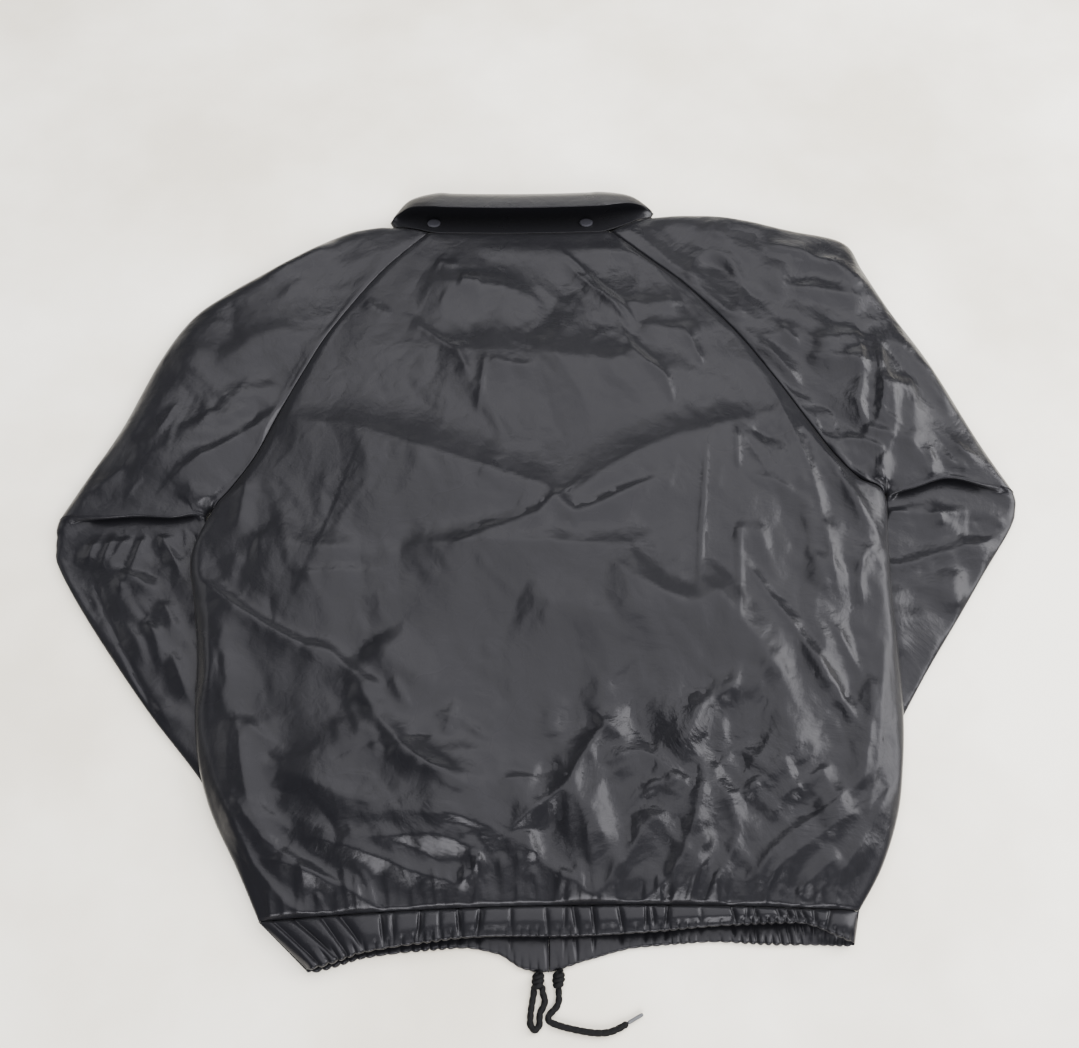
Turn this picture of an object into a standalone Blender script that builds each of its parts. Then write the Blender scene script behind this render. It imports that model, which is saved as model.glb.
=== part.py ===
"""A coach jacket of thin nylon, laid flat on its front with its back up.

The collar is at +Y, the hem at -Y, and the floor is z = 0. Tables are in millimetres, and the
model is in metres. Every cloth wall is a grid of outer points, given a thickness inward.
"""
import math
import bpy
from mathutils import Matrix, Vector

MM = 0.001
PAGE_SHIFT = (0.5, 2.95)  # brings the middle of the whole garment to the origin

# Thickness of the cloth walls, and the distance between two pieces at a seam
BODY_WALL = 1.1
SLEEVE_WALL = 1.1
COLLAR_WALL = 1.8
HEM_WALL = 2.2
SEAM_GAP = 0.3

# Body, from the hem stitch line (station 0) to the armpit (1) and the neck seam (2)
STATION, LEFT_X, LEFT_Y, RIGHT_X, RIGHT_Y, BOW, CROWN, EDGE = range(8)
BODY_ROWS = [
    # station, left x, left y, right x, right y, bow, crown height, edge height
    (0.00, -211, -344, 241, -336, 7, 17, 10),
    (0.10, -231, -305, 262, -303, 3, 22, 12),
    (0.22, -255, -262, 279, -262, 0, 26, 13),
    (0.33, -270, -222, 288, -222, 0, 27, 13),
    (0.45, -278, -180, 294, -178, 0, 28, 13),
    (0.60, -283, -125, 297, -122, 0, 28, 13),
    (0.75, -291, -78, 298, -72, 0, 28, 13),
    (0.90, -299, -32, 301, -18, 0, 27, 13),
    (1.00, -285, 13, 303, 30, 0, 27, 13),
    (1.12, -270, 36, 283, 44, 0, 26, 15),
    (1.25, -252, 68, 262, 70, 0, 26, 17),
    (1.40, -235, 113, 240, 108, 0, 25, 18),
    (1.55, -218, 155, 216, 151, 0, 25, 19),
    (1.70, -196, 204, 183, 205, 0, 24, 19),
    (1.85, -161, 263, 139, 261, -1, 22, 18),
    (1.93, -138, 293, 108, 291, -2, 21, 18),
    (2.00, -109, 326, 70, 328, -3, 19, 17),
]
ARMPIT_STATION = 1.0
SEAM_TURNS = 0.9  # above this station the walls' edges turn upright for the raglan seam
NECK_STATION = 2.0
SEAM_OPENS = 1.25  # above this station the side edge has turned into the raglan seam
LOWER_STATIONS = [0.0, 0.06, 0.13, 0.2, 0.28, 0.36, 0.45, 0.54, 0.63, 0.72, 0.81, 0.9, 0.95]
UPPER_STATIONS = [1.0, 1.04, 1.1, 1.18, 1.28, 1.4, 1.52, 1.64, 1.76, 1.88, 2.0]
BACK_COLUMNS = 24
FRONT_COLUMNS = 13
EDGE_TURN = 9  # plan width over which the walls' thickness turns from level to upright
TOP_ROUND = 26  # plan width of the rounding at the back's edge
UNDER_ROUND = 16  # plan width of the rounding at the front's edge
EDGE_SHARE = 0.6  # share of the crown's height gained in the rounding
FOLD_FADE = 30  # plan width over which the folds die out toward the side seams

# Largest folds of the back: two ends, half width and height, with troughs below zero
FOLDS = [
    # x0, y0, x1, y1, half width, height
    (-36, 315, 82, 309, 9, -3.0),
    (19, 300, 53, 262, 10, -3.0),
    (53, 262, 102, 163, 10, -2.5),
    (10, 167, 101, 152, 16, -2.5),
    (-235, 107, -169, 102, 20, -3.0),
    (-169, 102, -87, 66, 20, -4.0),
    (-87, 66, 18, 42, 18, -5.0),
    (29, 30, 120, 64, 18, -5.0),
    (120, 64, 216, 137, 18, -4.0),
    (29, -4, 110, 39, 11, -3.0),
    (-55, -31, 62, -32, 9, -3.0),
    (-275, -70, -177, -135, 12, -3.5),
    (-188, -119, -140, -155, 12, -3.0),
    (-123, -199, -66, -244, 14, -4.0),
    (-188, -228, -115, -265, 15, -5.0),
    (-115, -265, -46, -281, 14, -4.0),
    (-136, -295, -57, -320, 11, -4.0),
    (76, -53, 191, -134, 16, -4.0),
    (176, -46, 223, -135, 10, 4.0),
    (163, -140, 123, -213, 13, -5.0),
    (123, -213, 84, -325, 11, 5.0),
    (191, -208, 134, -326, 12, 5.0),
    (265, -259, 149, -322, 11, 4.0),
    (143, 70, 136, -76, 12, 2.5),
    (250, 70, 278, 23, 10, -3.0),
    (-167, 242, -78, 167, 10, -2.5),
]

# Sleeves, in rows from the raglan seam to the cuff. The last rows of the upper arm fold under
# at the elbow (shift is how far the top layer moves up or down the page), and the forearm
# then runs beneath the body.
OUTER_X, OUTER_Y, INNER_X, INNER_Y, BEND, TOP, SHIFT = range(7)
SLEEVE_LEFT = [
    # outer x, outer y, inner x, inner y, raglan bend, top height, shift of the top layer
    (-163, 338, -286.6, 14.8, 0.93, 18.0, 0),
    (-190, 332, -287.2, 14.8, 0.85, 19.0, 0),
    (-225, 312, -287.8, 14.7, 0.72, 20.0, 0),
    (-268, 281, -288.4, 14.5, 0.58, 21.0, 0),
    (-305, 252, -289.0, 14.2, 0.45, 21.5, 0),
    (-331, 225, -289.5, 13.9, 0.32, 22.0, 0),
    (-354, 178, -290.0, 13.5, 0.20, 22.0, 0),
    (-379, 101, -290.5, 12.9, 0.10, 21.0, 0),
    (-402, 48, -290.9, 12.2, 0.04, 19.5, 0),
    (-418, 10, -291.3, 11.0, 0.0, 18.6, -2),
    (-420, 5, -291.5, 9.6, 0.0, 17.2, -6),
    (-421, 0, -291.4, 8.0, 0.0, 13.8, -1),
    (-421, -5, -291.0, 6.2, 0.0, 12.4, 18),
    (-420, -10, -290.2, 4.0, 0.0, 10.6, 23),
    (-420, -15, -288.8, 1.4, 0.0, 9.3, 21),
    (-419, -21, -286.6, -2.0, 0.0, 8.8, 0),
    (-415, -37, -281.0, -13.0, 0.0, 8.3, 0),
    (-390, -77, -266.0, -36.0, 0.0, 8.2, 0),
    (-353, -128, -246.0, -66.0, 0.0, 8.2, 0),
    (-315, -177, -213.0, -114.0, 0.0, 8.2, 0),
    (-270, -230, -176.0, -170.0, 0.0, 8.2, 0),
    (-246, -268, -159.0, -212.0, 0.0, 8.2, 0),
    (-234, -287, -154.0, -234.0, 0.0, 8.2, 0),
]
SLEEVE_RIGHT = [
    # outer x, outer y, inner x, inner y, raglan bend, top height, shift of the top layer
    (140, 356, 304.1, 31.8, 0.93, 18.0, 0),
    (174, 355, 304.7, 32.1, 0.85, 19.0, 0),
    (208, 348, 305.3, 32.3, 0.72, 20.0, 0),
    (250, 335, 305.8, 32.4, 0.58, 21.0, 0),
    (299, 320, 306.3, 32.4, 0.45, 21.5, 0),
    (314, 285, 306.7, 32.3, 0.32, 22.0, 0),
    (334, 236, 307.1, 32.0, 0.20, 22.0, 0),
    (364, 173, 307.4, 31.6, 0.10, 21.0, 0),
    (396, 88, 307.7, 31.0, 0.04, 19.5, 0),
    (417, 39, 307.9, 30.0, 0.0, 18.6, 4),
    (419, 34, 308.0, 28.6, 0.0, 17.2, 0),
    (420, 29, 307.9, 27.0, 0.0, 13.8, 5),
    (420, 24, 307.6, 25.2, 0.0, 12.4, 20),
    (419, 19, 307.0, 23.0, 0.0, 10.6, 25),
    (418, 14, 306.0, 20.4, 0.0, 9.3, 23),
    (416, 8, 304.4, 17.0, 0.0, 8.8, 0),
    (407, -8, 298.0, 6.5, 0.0, 8.3, 0),
    (383, -43, 282.0, -13.0, 0.0, 8.2, 0),
    (356, -84, 261.0, -36.0, 0.0, 8.2, 0),
    (321, -136, 228.0, -88.0, 0.0, 8.2, 0),
    (283, -197, 190.0, -146.0, 0.0, 8.2, 0),
    (252, -246, 164.0, -196.0, 0.0, 8.2, 0),
    (238, -268, 156.0, -218.0, 0.0, 8.2, 0),
]
NECKLINE_LEFT = (-143, 338)  # where the sleeve's top fold meets the neckline
NECKLINE_RIGHT = (110, 353)
NECKLINE_SHARES = [0.0, 0.04, 0.16, 0.42]  # points from that fold to the raglan seam
SLEEVE_EDGE = 6  # greatest height of the fold line along a sleeve's edge
EDGE_PER_HEIGHT = 0.47  # height of that fold line as a share of the sleeve's thickness
ROUND_PER_HEIGHT = 0.9  # plan width of its rounding, as a share of the thickness
SLEEVE_SHARE = 0.85  # share of the thickness gained in the rounding
SEAM_EASE_ROWS = 4  # rows over which the sleeve leaves the seam's heights
TUCK_OUTER = 0.45  # share of the width over which the elbow's tuck opens from the outer fold
TUCK_INNER = 0.25  # and from the inner fold
CUFF_RINGS = [
    # distance from the sleeve's end, height of the gathers
    (0.3, 0.0), (9, 1.0), (19, 1.0), (28, 0.6),
]
CUFF_GATHER = 0.3
CUFF_WALL = 1.2

# The forearms lie beneath the body: their inner edges, and the room that the front leaves
FOREARMS = [
    # inner edge at the elbow x, y, inner edge at the cuff's end x, y, side
    (-284, -5, -116, -264, -1),
    (294, 15, 118, -252, 1),
]
FOREARM_ROOM = 9.5
FOREARM_MARGIN = 30  # width of the slope beside a forearm
FOREARM_CLEAR = 8  # level strip between that slope and the forearm

# Placket: the right front laps inside the left, whose snaps face the floor
CENTRE_X = -3
PLACKET_HALF = 18
PLACKET_FLAT = 38  # half width of the raised strip
PLACKET_RAISE = 2.4
PLACKET_FADE = 22
LAP_RISE = 1.8
SNAP_RADIUS = 7
SNAP_HEIGHT = 1.9
SNAP_SIDES = 14
SNAP_Y = [250, 125, 0, -125, -250]
FRONT_NECK_DROP = 30  # how far the front neckline dips below the back's
HEM_DIP = 14  # how far the fronts hang down at the centre of the hem
HEM_DIP_WIDTH = 32

# Hem casing, drawn in by the cord: the bottom edges of the back and of the two fronts
HEM_BACK_EDGE = [(-173, -380), (-133, -368), (-60, -357), (43, -355), (125, -349),
                 (196, -346), (236, -360)]
HEM_LEFT_EDGE = [(-173, -380.5), (-133, -370), (-60, -362), (-30, -367), (-13, -377), (1.5, -379.5)]
HEM_RIGHT_EDGE = [(11, -379), (32, -372), (70, -362), (128, -358), (200, -360), (236, -361)]
HEM_BACK_GATHERS = 52
HEM_FRONT_GATHERS = 24
GATHER_HEIGHT = 1.5
HEM_WIDTH = 410
HEM_CORNER = 6  # height of the fold at the casing's lower corners
HEM_BACK_LIP = 12.5  # height of the back casing's free edge
HEM_FRONT_WALL = 2.4
CASING_PUFF = 1.6
FRONT_GATHER = 0.6
LIP_SCALLOP = 0.8
GATHER_FADE = 12  # plan width over which the gathers start at the side seams

# Collar sections: distance out from the neckline and height, as folded over at the back and
# as laid flat beneath the front
COLLAR_FOLDED = [(0, 0), (13, -3), (27, -6), (38, -5), (44, 0), (43, 7.5), (34, 15),
                 (22, 20), (12, 23)]
COLLAR_FLAT = [(0, 0), (7, 0), (14, 0), (20, 0), (26, 0), (31, 0), (35, 0), (38, 0), (41, 0)]
COLLAR_SEAM = 0.35  # clearance of the collar's lower edge from the neck seam
COLLAR_END_SEAM = 1.5  # and from the folded ends of the neckline
COLLAR_FRONT_ENDS = (0.47, 0.58)  # where the collar's two ends meet, as shares across the neck
COLLAR_LEFT_END = [
    # x, y, height, splay in degrees, folded share, reach share
    (-122, 331.5, 0.0, -6, 0.0, 0.75),
    (-134, 336.0, 0.6, -16, 0.0, 0.45),
    (-141, 338.5, 2.6, -24, 0.0, 0.32),
    (-143.6, 339.5, 6.2, -28, 0.0, 0.28),
    (-141.5, 338.8, 9.8, -26, 0.1, 0.32),
    (-134, 336.0, 13.6, -18, 0.45, 0.5),
    (-122, 331.5, 16.0, -8, 0.8, 0.8),
]
COLLAR_RIGHT_END = [
    # x, y, height, splay in degrees, folded share, reach share
    (84, 337.0, 16.0, 8, 0.8, 0.8),
    (98, 346.0, 14.0, 18, 0.45, 0.5),
    (108, 352.6, 10.0, 26, 0.1, 0.32),
    (110.6, 354.6, 6.2, 28, 0.0, 0.28),
    (108, 352.6, 2.6, 24, 0.0, 0.32),
    (98, 346.0, 0.6, 16, 0.0, 0.45),
    (84, 337.0, 0.0, 6, 0.0, 0.75),
]
COLLAR_SNAP_X = [-104, 46]
COLLAR_SNAP_RUN = 13.5  # distance out from the neckline
COLLAR_SNAP_RADIUS = 6.5
COLLAR_SNAP_HEIGHT = 1.6
COLLAR_SNAP_LIFT = 0.25

# Drawcord: a doubled loop at the left, one free end with its tip at the right
CORD_DIAMETER = 5.2
LEFT_CORD = [
    # x, y, height of the centre line
    (-4.2, -391.8, 4.0), (-4.3, -395.0, 3.5), (-5.0, -399.0, 2.8), (-5.8, -404.0, 2.8),
    (-6.5, -408.5, 2.8), (-6.8, -413.0, 2.8), (-6.6, -417.4, 2.8), (-3.4, -420.8, 2.8),
    (-0.2, -417.4, 2.8), (0.0, -413.0, 2.8), (0.4, -408.6, 2.8), (2.8, -404.4, 2.8),
    (4.0, -399.6, 2.8), (2.5, -395.0, 3.5), (2.2, -391.8, 4.0),
]
RIGHT_CORD = [
    # x, y, height of the centre line
    (14.2, -390.95, 4.0), (14.2, -394.6, 3.5), (14.4, -399.0, 2.8), (13.0, -403.8, 2.8),
    (9.8, -407.4, 2.8), (6.6, -410.8, 2.8), (7.2, -414.6, 2.8), (12.4, -417.0, 2.8),
    (20.0, -419.2, 2.8), (30.5, -421.4, 2.8),
    (41.0, -422.8, 2.8), (50.0, -422.4, 2.8), (58.0, -419.6, 2.8), (64.4, -416.0, 2.8),
]
KNOT_LEFT = (-1.0, -385.65)
KNOT_RIGHT = (14.2, -384.8)
KNOT_RADIUS = 4.6
KNOT_LENGTH = 11.4
KNOT_SIDES = 12
TIP_LENGTH = 13
TIP_RADIUS = 1.5

BLACK_NYLON = (0.030, 0.031, 0.037)
BLACK_CORD = (0.010, 0.010, 0.013)
GREY_TIP = (0.12, 0.12, 0.13)
BLACK_METAL = (0.02, 0.02, 0.022)


def lerp(a, b, t):
    return a + (b - a) * t


def smooth(t):
    t = min(max(t, 0.0), 1.0)
    return t * t * (3 - 2 * t)


def quarter_round(distance, radius):
    """Height share of a quarter ellipse that rises from an edge over the given radius."""
    t = min(max(distance / radius, 0.0), 1.0)
    return math.sqrt(1 - (1 - t) ** 2)


def through(points, t):
    """Point at t (0 to 1) on a smooth curve through the given points."""
    spans = len(points) - 1
    place = min(max(t, 0.0), 1.0) * spans
    i = min(int(place), spans - 1)
    f = place - i
    p0, p1, p2, p3 = (points[min(max(i + k, 0), spans)] for k in (-1, 0, 1, 2))
    return tuple(
        b + 0.5 * f * (c - a + f * (2 * a - 5 * b + 4 * c - d + f * (3 * (b - c) + d - a)))
        for a, b, c, d in zip(p0, p1, p2, p3))


def body_row(station):
    """Row of the body at a station, smooth between the rows of the table."""
    rows = BODY_ROWS
    last = len(rows) - 1
    i = 0
    while i < last - 1 and rows[i + 1][STATION] <= station:
        i += 1
    f = (station - rows[i][STATION]) / (rows[i + 1][STATION] - rows[i][STATION])
    return through(rows, (i + f) / last)


def segment_distance(x, y, x0, y0, x1, y1):
    dx, dy = x1 - x0, y1 - y0
    share = min(max(((x - x0) * dx + (y - y0) * dy) / (dx * dx + dy * dy), 0.0), 1.0)
    return math.hypot(x - x0 - share * dx, y - y0 - share * dy)


def fold_height(x, y):
    total = 0.0
    for x0, y0, x1, y1, half_width, height in FOLDS:
        distance = segment_distance(x, y, x0, y0, x1, y1)
        total += height * math.exp(-(distance / half_width) ** 2)
    return total


def forearm_lift(x, y):
    """Room that the front leaves for the forearms beneath it."""
    lift = 0.0
    for x0, y0, x1, y1, side in FOREARMS:
        length = math.hypot(x1 - x0, y1 - y0)
        ux, uy = (x1 - x0) / length, (y1 - y0) / length
        inside = side * ((x - x0) * -uy + (y - y0) * ux)
        before_end = length - ((x - x0) * ux + (y - y0) * uy)
        share = 1.0
        for within in (inside, before_end):
            share *= smooth((within + FOREARM_CLEAR) / FOREARM_MARGIN + 1)
        lift = max(lift, FOREARM_ROOM * share)
    return lift


def placket_raise(x):
    beyond = abs(x - CENTRE_X) - PLACKET_FLAT
    return PLACKET_RAISE * (1 - smooth(beyond / PLACKET_FADE))


def body_place(station, u):
    """Plan point on the body, the distance in from its nearer edge, and the row."""
    row = body_row(station)
    x = lerp(row[LEFT_X], row[RIGHT_X], u)
    y = lerp(row[LEFT_Y], row[RIGHT_Y], u) + row[BOW] * 4 * u * (1 - u)
    width = row[RIGHT_X] - row[LEFT_X]
    return x, y, min(u, 1 - u) * width, width, row


def edge_closing(station):
    """1 where back and front meet at a side seam, 0 where a sleeve parts them."""
    return smooth((SEAM_OPENS - station) / (SEAM_OPENS - ARMPIT_STATION))


def edge_tilt(station):
    """Tilt of the wall's thickness at the side edge: 0 at the side seam, 90 at the raglan."""
    return math.radians(90) * smooth((station - SEAM_TURNS) / (ARMPIT_STATION - SEAM_TURNS))


def parting(station):
    """Half the height between the outer edges of back and front."""
    return SEAM_GAP / 2 + (BODY_WALL + SEAM_GAP / 2) * math.sin(edge_tilt(station))


def back_height(station, u):
    x, y, inward, width, row = body_place(station, u)
    closing = edge_closing(station)
    doming = math.sin(math.pi * inward / width)
    rounding = quarter_round(inward, TOP_ROUND)
    share = lerp(doming, EDGE_SHARE * rounding + (1 - EDGE_SHARE) * doming, closing)
    fade = smooth(inward / FOLD_FADE) * smooth(station / 0.08) * smooth((NECK_STATION - station) / 0.05)
    edge = row[EDGE] + parting(station)
    return lerp(edge, row[CROWN], share) + fade * fold_height(x, y)


def front_height(station, u):
    x, y, inward, width, row = body_place(station, u)
    base = forearm_lift(x, y) + placket_raise(x)
    closing = edge_closing(station) * (1 - quarter_round(inward, UNDER_ROUND))
    return lerp(base, row[EDGE] - parting(station), closing)


def edge_facing(station, u, up):
    """Direction of the wall's thickness: level at a side seam, upright inside it."""
    inward = body_place(station, u)[2]
    angle = lerp(edge_tilt(station), math.radians(90), min(inward / EDGE_TURN, 1.0))
    side = -1 if u < 0.5 else 1
    return Vector((side * math.cos(angle), 0, up * math.sin(angle)))


def cosine_steps(count):
    return [0.5 - 0.5 * math.cos(math.pi * i / count) for i in range(count + 1)]


def material(name, colour, roughness, metallic=0.0):
    made = bpy.data.materials.new(name)
    made.use_nodes = True
    shader = made.node_tree.nodes["Principled BSDF"]
    shader.inputs["Base Color"].default_value = (*colour, 1)
    shader.inputs["Roughness"].default_value = roughness
    shader.inputs["Metallic"].default_value = metallic
    made.diffuse_color = (*colour, 1)
    return made


def place(name, data, colour, roughness, metallic=0.0):
    """Adds an object with its own material."""
    data.transform(Matrix.Translation((PAGE_SHIFT[0] * MM, PAGE_SHIFT[1] * MM, 0)))
    data.materials.append(material(name + "_finish", colour, roughness, metallic))
    thing = bpy.data.objects.new(name, data)
    bpy.context.scene.collection.objects.link(thing)
    return thing


def grid_normals(grid, wrap):
    """Mean normal at each point of a grid, from the faces round it."""
    rows, columns = len(grid), len(grid[0])
    normals = [[Vector((0, 0, 0)) for c in range(columns)] for r in range(rows)]
    for r in range(rows - 1):
        for c in range(columns if wrap else columns - 1):
            corners = [(r, c), (r, (c + 1) % columns), (r + 1, (c + 1) % columns), (r + 1, c)]
            a, b, d, e = (grid[i][j] for i, j in corners)
            normal = (d - a).cross(e - b)
            for i, j in corners:
                normals[i][j] += normal
    return [[n.normalized() for n in line] for line in normals]


def cloth_wall(name, grid, wall, inner=None, wrap=False, colour=BLACK_NYLON, roughness=0.42):
    """Closed wall from a grid of outer points (mm). From a row's direction to the next row is
    a turn to the left as seen from outside. The inner points lie a thickness further in, along
    the normals or along the directions that are given. The thickness is one number, or one for
    each point."""
    rows, columns = len(grid), len(grid[0])
    grid = [[Vector(p) for p in line] for line in grid]
    normals = grid_normals(grid, wrap)
    verts = [p * MM for line in grid for p in line]
    for r in range(rows):
        for c in range(columns):
            inward = normals[r][c]
            if inner and inner[r][c] is not None:
                inward = Vector(inner[r][c]).normalized()
            thickness = wall[r][c] if isinstance(wall, list) else wall
            verts.append((grid[r][c] - inward * thickness) * MM)
    size = rows * columns
    faces = []

    def both_sides(a, b, c):
        faces.append((a, b, c))
        faces.append((size + c, size + b, size + a))

    def rim(a, b):
        faces.append((b, a, size + a))
        faces.append((b, size + a, size + b))

    steps = [(c, (c + 1) % columns) for c in range(columns if wrap else columns - 1)]
    for r in range(rows - 1):
        low, high = r * columns, (r + 1) * columns
        for c, d in steps:
            both_sides(low + c, low + d, high + d)
            both_sides(low + c, high + d, high + c)
    last_row, last = (rows - 1) * columns, columns - 1
    for c, d in steps:
        rim(c, d)
        rim(last_row + d, last_row + c)
    if not wrap:
        for r in range(rows - 1):
            low, high = r * columns, (r + 1) * columns
            rim(high, low)
            rim(low + last, high + last)
    mesh = bpy.data.meshes.new(name)
    mesh.from_pydata(verts, [], faces)
    mesh.validate()
    mesh.shade_smooth()
    mesh.set_sharp_from_angle(angle=math.radians(50))
    return place(name, mesh, colour, roughness)


def seam_direction(station, right):
    """Level direction from the body to the sleeve, square to the raglan seam."""
    x_column, y_column = (RIGHT_X, RIGHT_Y) if right else (LEFT_X, LEFT_Y)
    start = min(station, NECK_STATION - 0.03)
    low, high = body_row(start), body_row(start + 0.03)
    seam = Vector((high[x_column] - low[x_column], high[y_column] - low[y_column], 0))
    across = Vector((seam.y, -seam.x, 0)) if right else Vector((-seam.y, seam.x, 0))
    return across.normalized()


def make_back():
    stations = LOWER_STATIONS + UPPER_STATIONS
    grid, facing = [], []
    for station in stations:
        places = [(u, body_place(station, u)) for u in cosine_steps(BACK_COLUMNS)]
        grid.append([(p[0], p[1], back_height(station, u)) for u, p in places])
        facing.append([edge_facing(station, u, 1) for u, p in places])
    cloth_wall("back", grid, BODY_WALL, facing)


def front_limits(station, right):
    """Columns of one front, from its side seam to its placket edge."""
    row = body_row(station)
    width = row[RIGHT_X] - row[LEFT_X]
    reach = CENTRE_X - PLACKET_HALF if right else CENTRE_X + PLACKET_HALF
    edge = (reach - row[LEFT_X]) / width
    start = 1.0 if right else 0.0
    return [lerp(start, edge, share) for share in cosine_steps(FRONT_COLUMNS)]


def front_dip(station, u):
    """The front neckline is scooped, and the hem ends hang down at the centre."""
    neck = FRONT_NECK_DROP * smooth((station - 1.6) / 0.4) * smooth(2 * min(u, 1 - u))
    x = body_place(station, u)[0]
    hem = HEM_DIP * (1 - smooth(station / 0.12)) * math.exp(-((x - CENTRE_X) / HEM_DIP_WIDTH) ** 2)
    return neck + hem


def front_point(station, u, lap):
    x, y, inward, width, row = body_place(station, u)
    return (x, y - front_dip(station, u), front_height(station, u) + lap)


def lap_rise(x):
    """Rise of the inner front over the outer one, at the placket."""
    beyond = x - (CENTRE_X + PLACKET_FLAT)
    return LAP_RISE * (1 - smooth(beyond / PLACKET_FADE))


def make_front(right):
    stations = LOWER_STATIONS + UPPER_STATIONS
    grid, facing = [], []
    for station in stations:
        columns = front_limits(station, right)
        line = []
        for u in columns:
            x = body_place(station, u)[0]
            line.append(front_point(station, u, lap_rise(x) if right else 0.0))
        grid.append(line)
        facing.append([edge_facing(station, u, -1) for u in columns])
    if not right:
        grid = [line[::-1] for line in grid]
        facing = [line[::-1] for line in facing]
    cloth_wall("front_right" if right else "front_left", grid, BODY_WALL, facing)


def sleeve_seam(right):
    """Top and bottom points of the sleeve's first ring, from the neckline to the armpit."""
    u = 1.0 if right else 0.0
    fold = Vector((*(NECKLINE_RIGHT if right else NECKLINE_LEFT), 0))
    neck_x, neck_y = body_place(NECK_STATION, u)[:2]
    shift = seam_direction(NECK_STATION, right) * SEAM_GAP
    top_corner = Vector((neck_x, neck_y, back_height(NECK_STATION, u))) + shift
    low_corner = Vector((neck_x, neck_y, front_height(NECK_STATION, u))) + shift
    top, low = [], []
    for share in NECKLINE_SHARES:
        round_up = quarter_round(share, 1.0)
        for line, corner in ((top, top_corner), (low, low_corner)):
            point = fold.lerp(corner, share)
            point.z = lerp(SLEEVE_EDGE, corner.z, round_up)
            line.append(point)
    for station in reversed(UPPER_STATIONS):
        x, y = body_place(station, u)[:2]
        shift = seam_direction(station, right) * SEAM_GAP
        top.append(Vector((x, y, back_height(station, u))) + shift)
        low.append(Vector((x, y, front_height(station, u))) + shift)
    top[-1].z = body_row(ARMPIT_STATION)[EDGE]
    return top, low


def ring(top, low):
    """One ring from top points and bottom points, which share their two ends."""
    return top + low[-2:0:-1]


def sleeve_facing(right):
    """Thickness directions on the first ring: upright along the seam, as the body's are."""
    seam, low_seam = sleeve_seam(right)
    outward, downward = seam[0] - seam[-len(UPPER_STATIONS)], seam[-1] - seam[-2]
    outward, downward = (Vector((d.x, d.y, 0)).normalized() for d in (outward, downward))
    top, low = [], []
    for share in NECKLINE_SHARES:
        angle = math.radians(90 * min(share / NECKLINE_SHARES[-1], 1.0))
        rise = Vector((0, 0, math.sin(angle)))
        top.append(outward * math.cos(angle) + rise)
        low.append(outward * math.cos(angle) - rise)
    for station in UPPER_STATIONS:
        top.append(Vector((0, 0, 1)))
        low.append(Vector((0, 0, -1)))
    top[-1] = downward
    return ring(top, low)


def sleeve_rings(right):
    """Rings of a sleeve: top points from the outer fold to the inner one, then the bottom."""
    top_seam, low_seam = sleeve_seam(right)
    first, last = top_seam[0], top_seam[-1]
    runs = [0.0]
    for a, b in zip(top_seam, top_seam[1:]):
        runs.append(runs[-1] + math.hypot(b.x - a.x, b.y - a.y))
    shares = [run / runs[-1] for run in runs]
    bends = [Vector((p.x, p.y)) - Vector((first.x, first.y)).lerp(Vector((last.x, last.y)), s)
             for p, s in zip(top_seam, shares)]
    rings = [ring(top_seam, low_seam)]
    for index, row in enumerate(SLEEVE_RIGHT if right else SLEEVE_LEFT):
        outer = Vector((row[OUTER_X], row[OUTER_Y]))
        inner = Vector((row[INNER_X], row[INNER_Y]))
        width = (inner - outer).length
        ease = smooth((index + 1) / SEAM_EASE_ROWS)
        top, low = [], []
        for j, share in enumerate(shares):
            plan = outer.lerp(inner, share) + bends[j] * row[BEND]
            near = min(share, 1 - share) * width
            rounding = quarter_round(near, ROUND_PER_HEIGHT * row[TOP])
            rise = SLEEVE_SHARE * rounding + (1 - SLEEVE_SHARE) * math.sin(math.pi * share)
            edge = min(SLEEVE_EDGE, EDGE_PER_HEIGHT * row[TOP])
            crown = lerp(edge, row[TOP], rise)
            floor = lerp(edge, 0.0, rounding)
            slide = row[SHIFT] * smooth(share / TUCK_OUTER) * smooth((1 - share) / TUCK_INNER)
            top.append(Vector((plan.x, plan.y + slide, lerp(top_seam[j].z, crown, ease))))
            low.append(Vector((plan.x, plan.y, lerp(low_seam[j].z, floor, ease))))
        rings.append(ring(top, low))
    return rings


def make_sleeve(right):
    rings = sleeve_rings(right)
    facing = [[None] * len(rings[0]) for line in rings]
    facing[0] = sleeve_facing(right)
    if not right:
        rings = [line[::-1] for line in rings]
        facing = [line[::-1] for line in facing]
    cloth_wall("sleeve_right" if right else "sleeve_left", rings, SLEEVE_WALL, facing, wrap=True)


def make_cuff(right):
    """Short gathered tube at the sleeve's end."""
    before, end = sleeve_rings(right)[-2:]
    half = len(end) // 2
    end_height = max(point.z for point in end)
    along_sleeve = (end[0] - before[0]) + (end[half] - before[half])
    along_sleeve = Vector((along_sleeve.x, along_sleeve.y, 0)).normalized()
    rings = []
    for run, wave in CUFF_RINGS:
        line = []
        for j, point in enumerate(end):
            upper = smooth(2 * point.z / end_height - 1)
            drop = CUFF_GATHER * wave * (2 if j % 2 else 0) * upper
            line.append(point + along_sleeve * run - Vector((0, 0, drop)))
        rings.append(line)
    if not right:
        rings = [line[::-1] for line in rings]
    cloth_wall("cuff_right" if right else "cuff_left", rings, CUFF_WALL, wrap=True)


def on_row(points, places, place_at):
    """Point between the nearest two of a row of points, at a place between their own."""
    i = 0
    while i < len(places) - 2 and places[i + 1] <= place_at:
        i += 1
    f = (place_at - places[i]) / (places[i + 1] - places[i])
    return Vector(points[i]).lerp(Vector(points[i + 1]), f)


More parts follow.
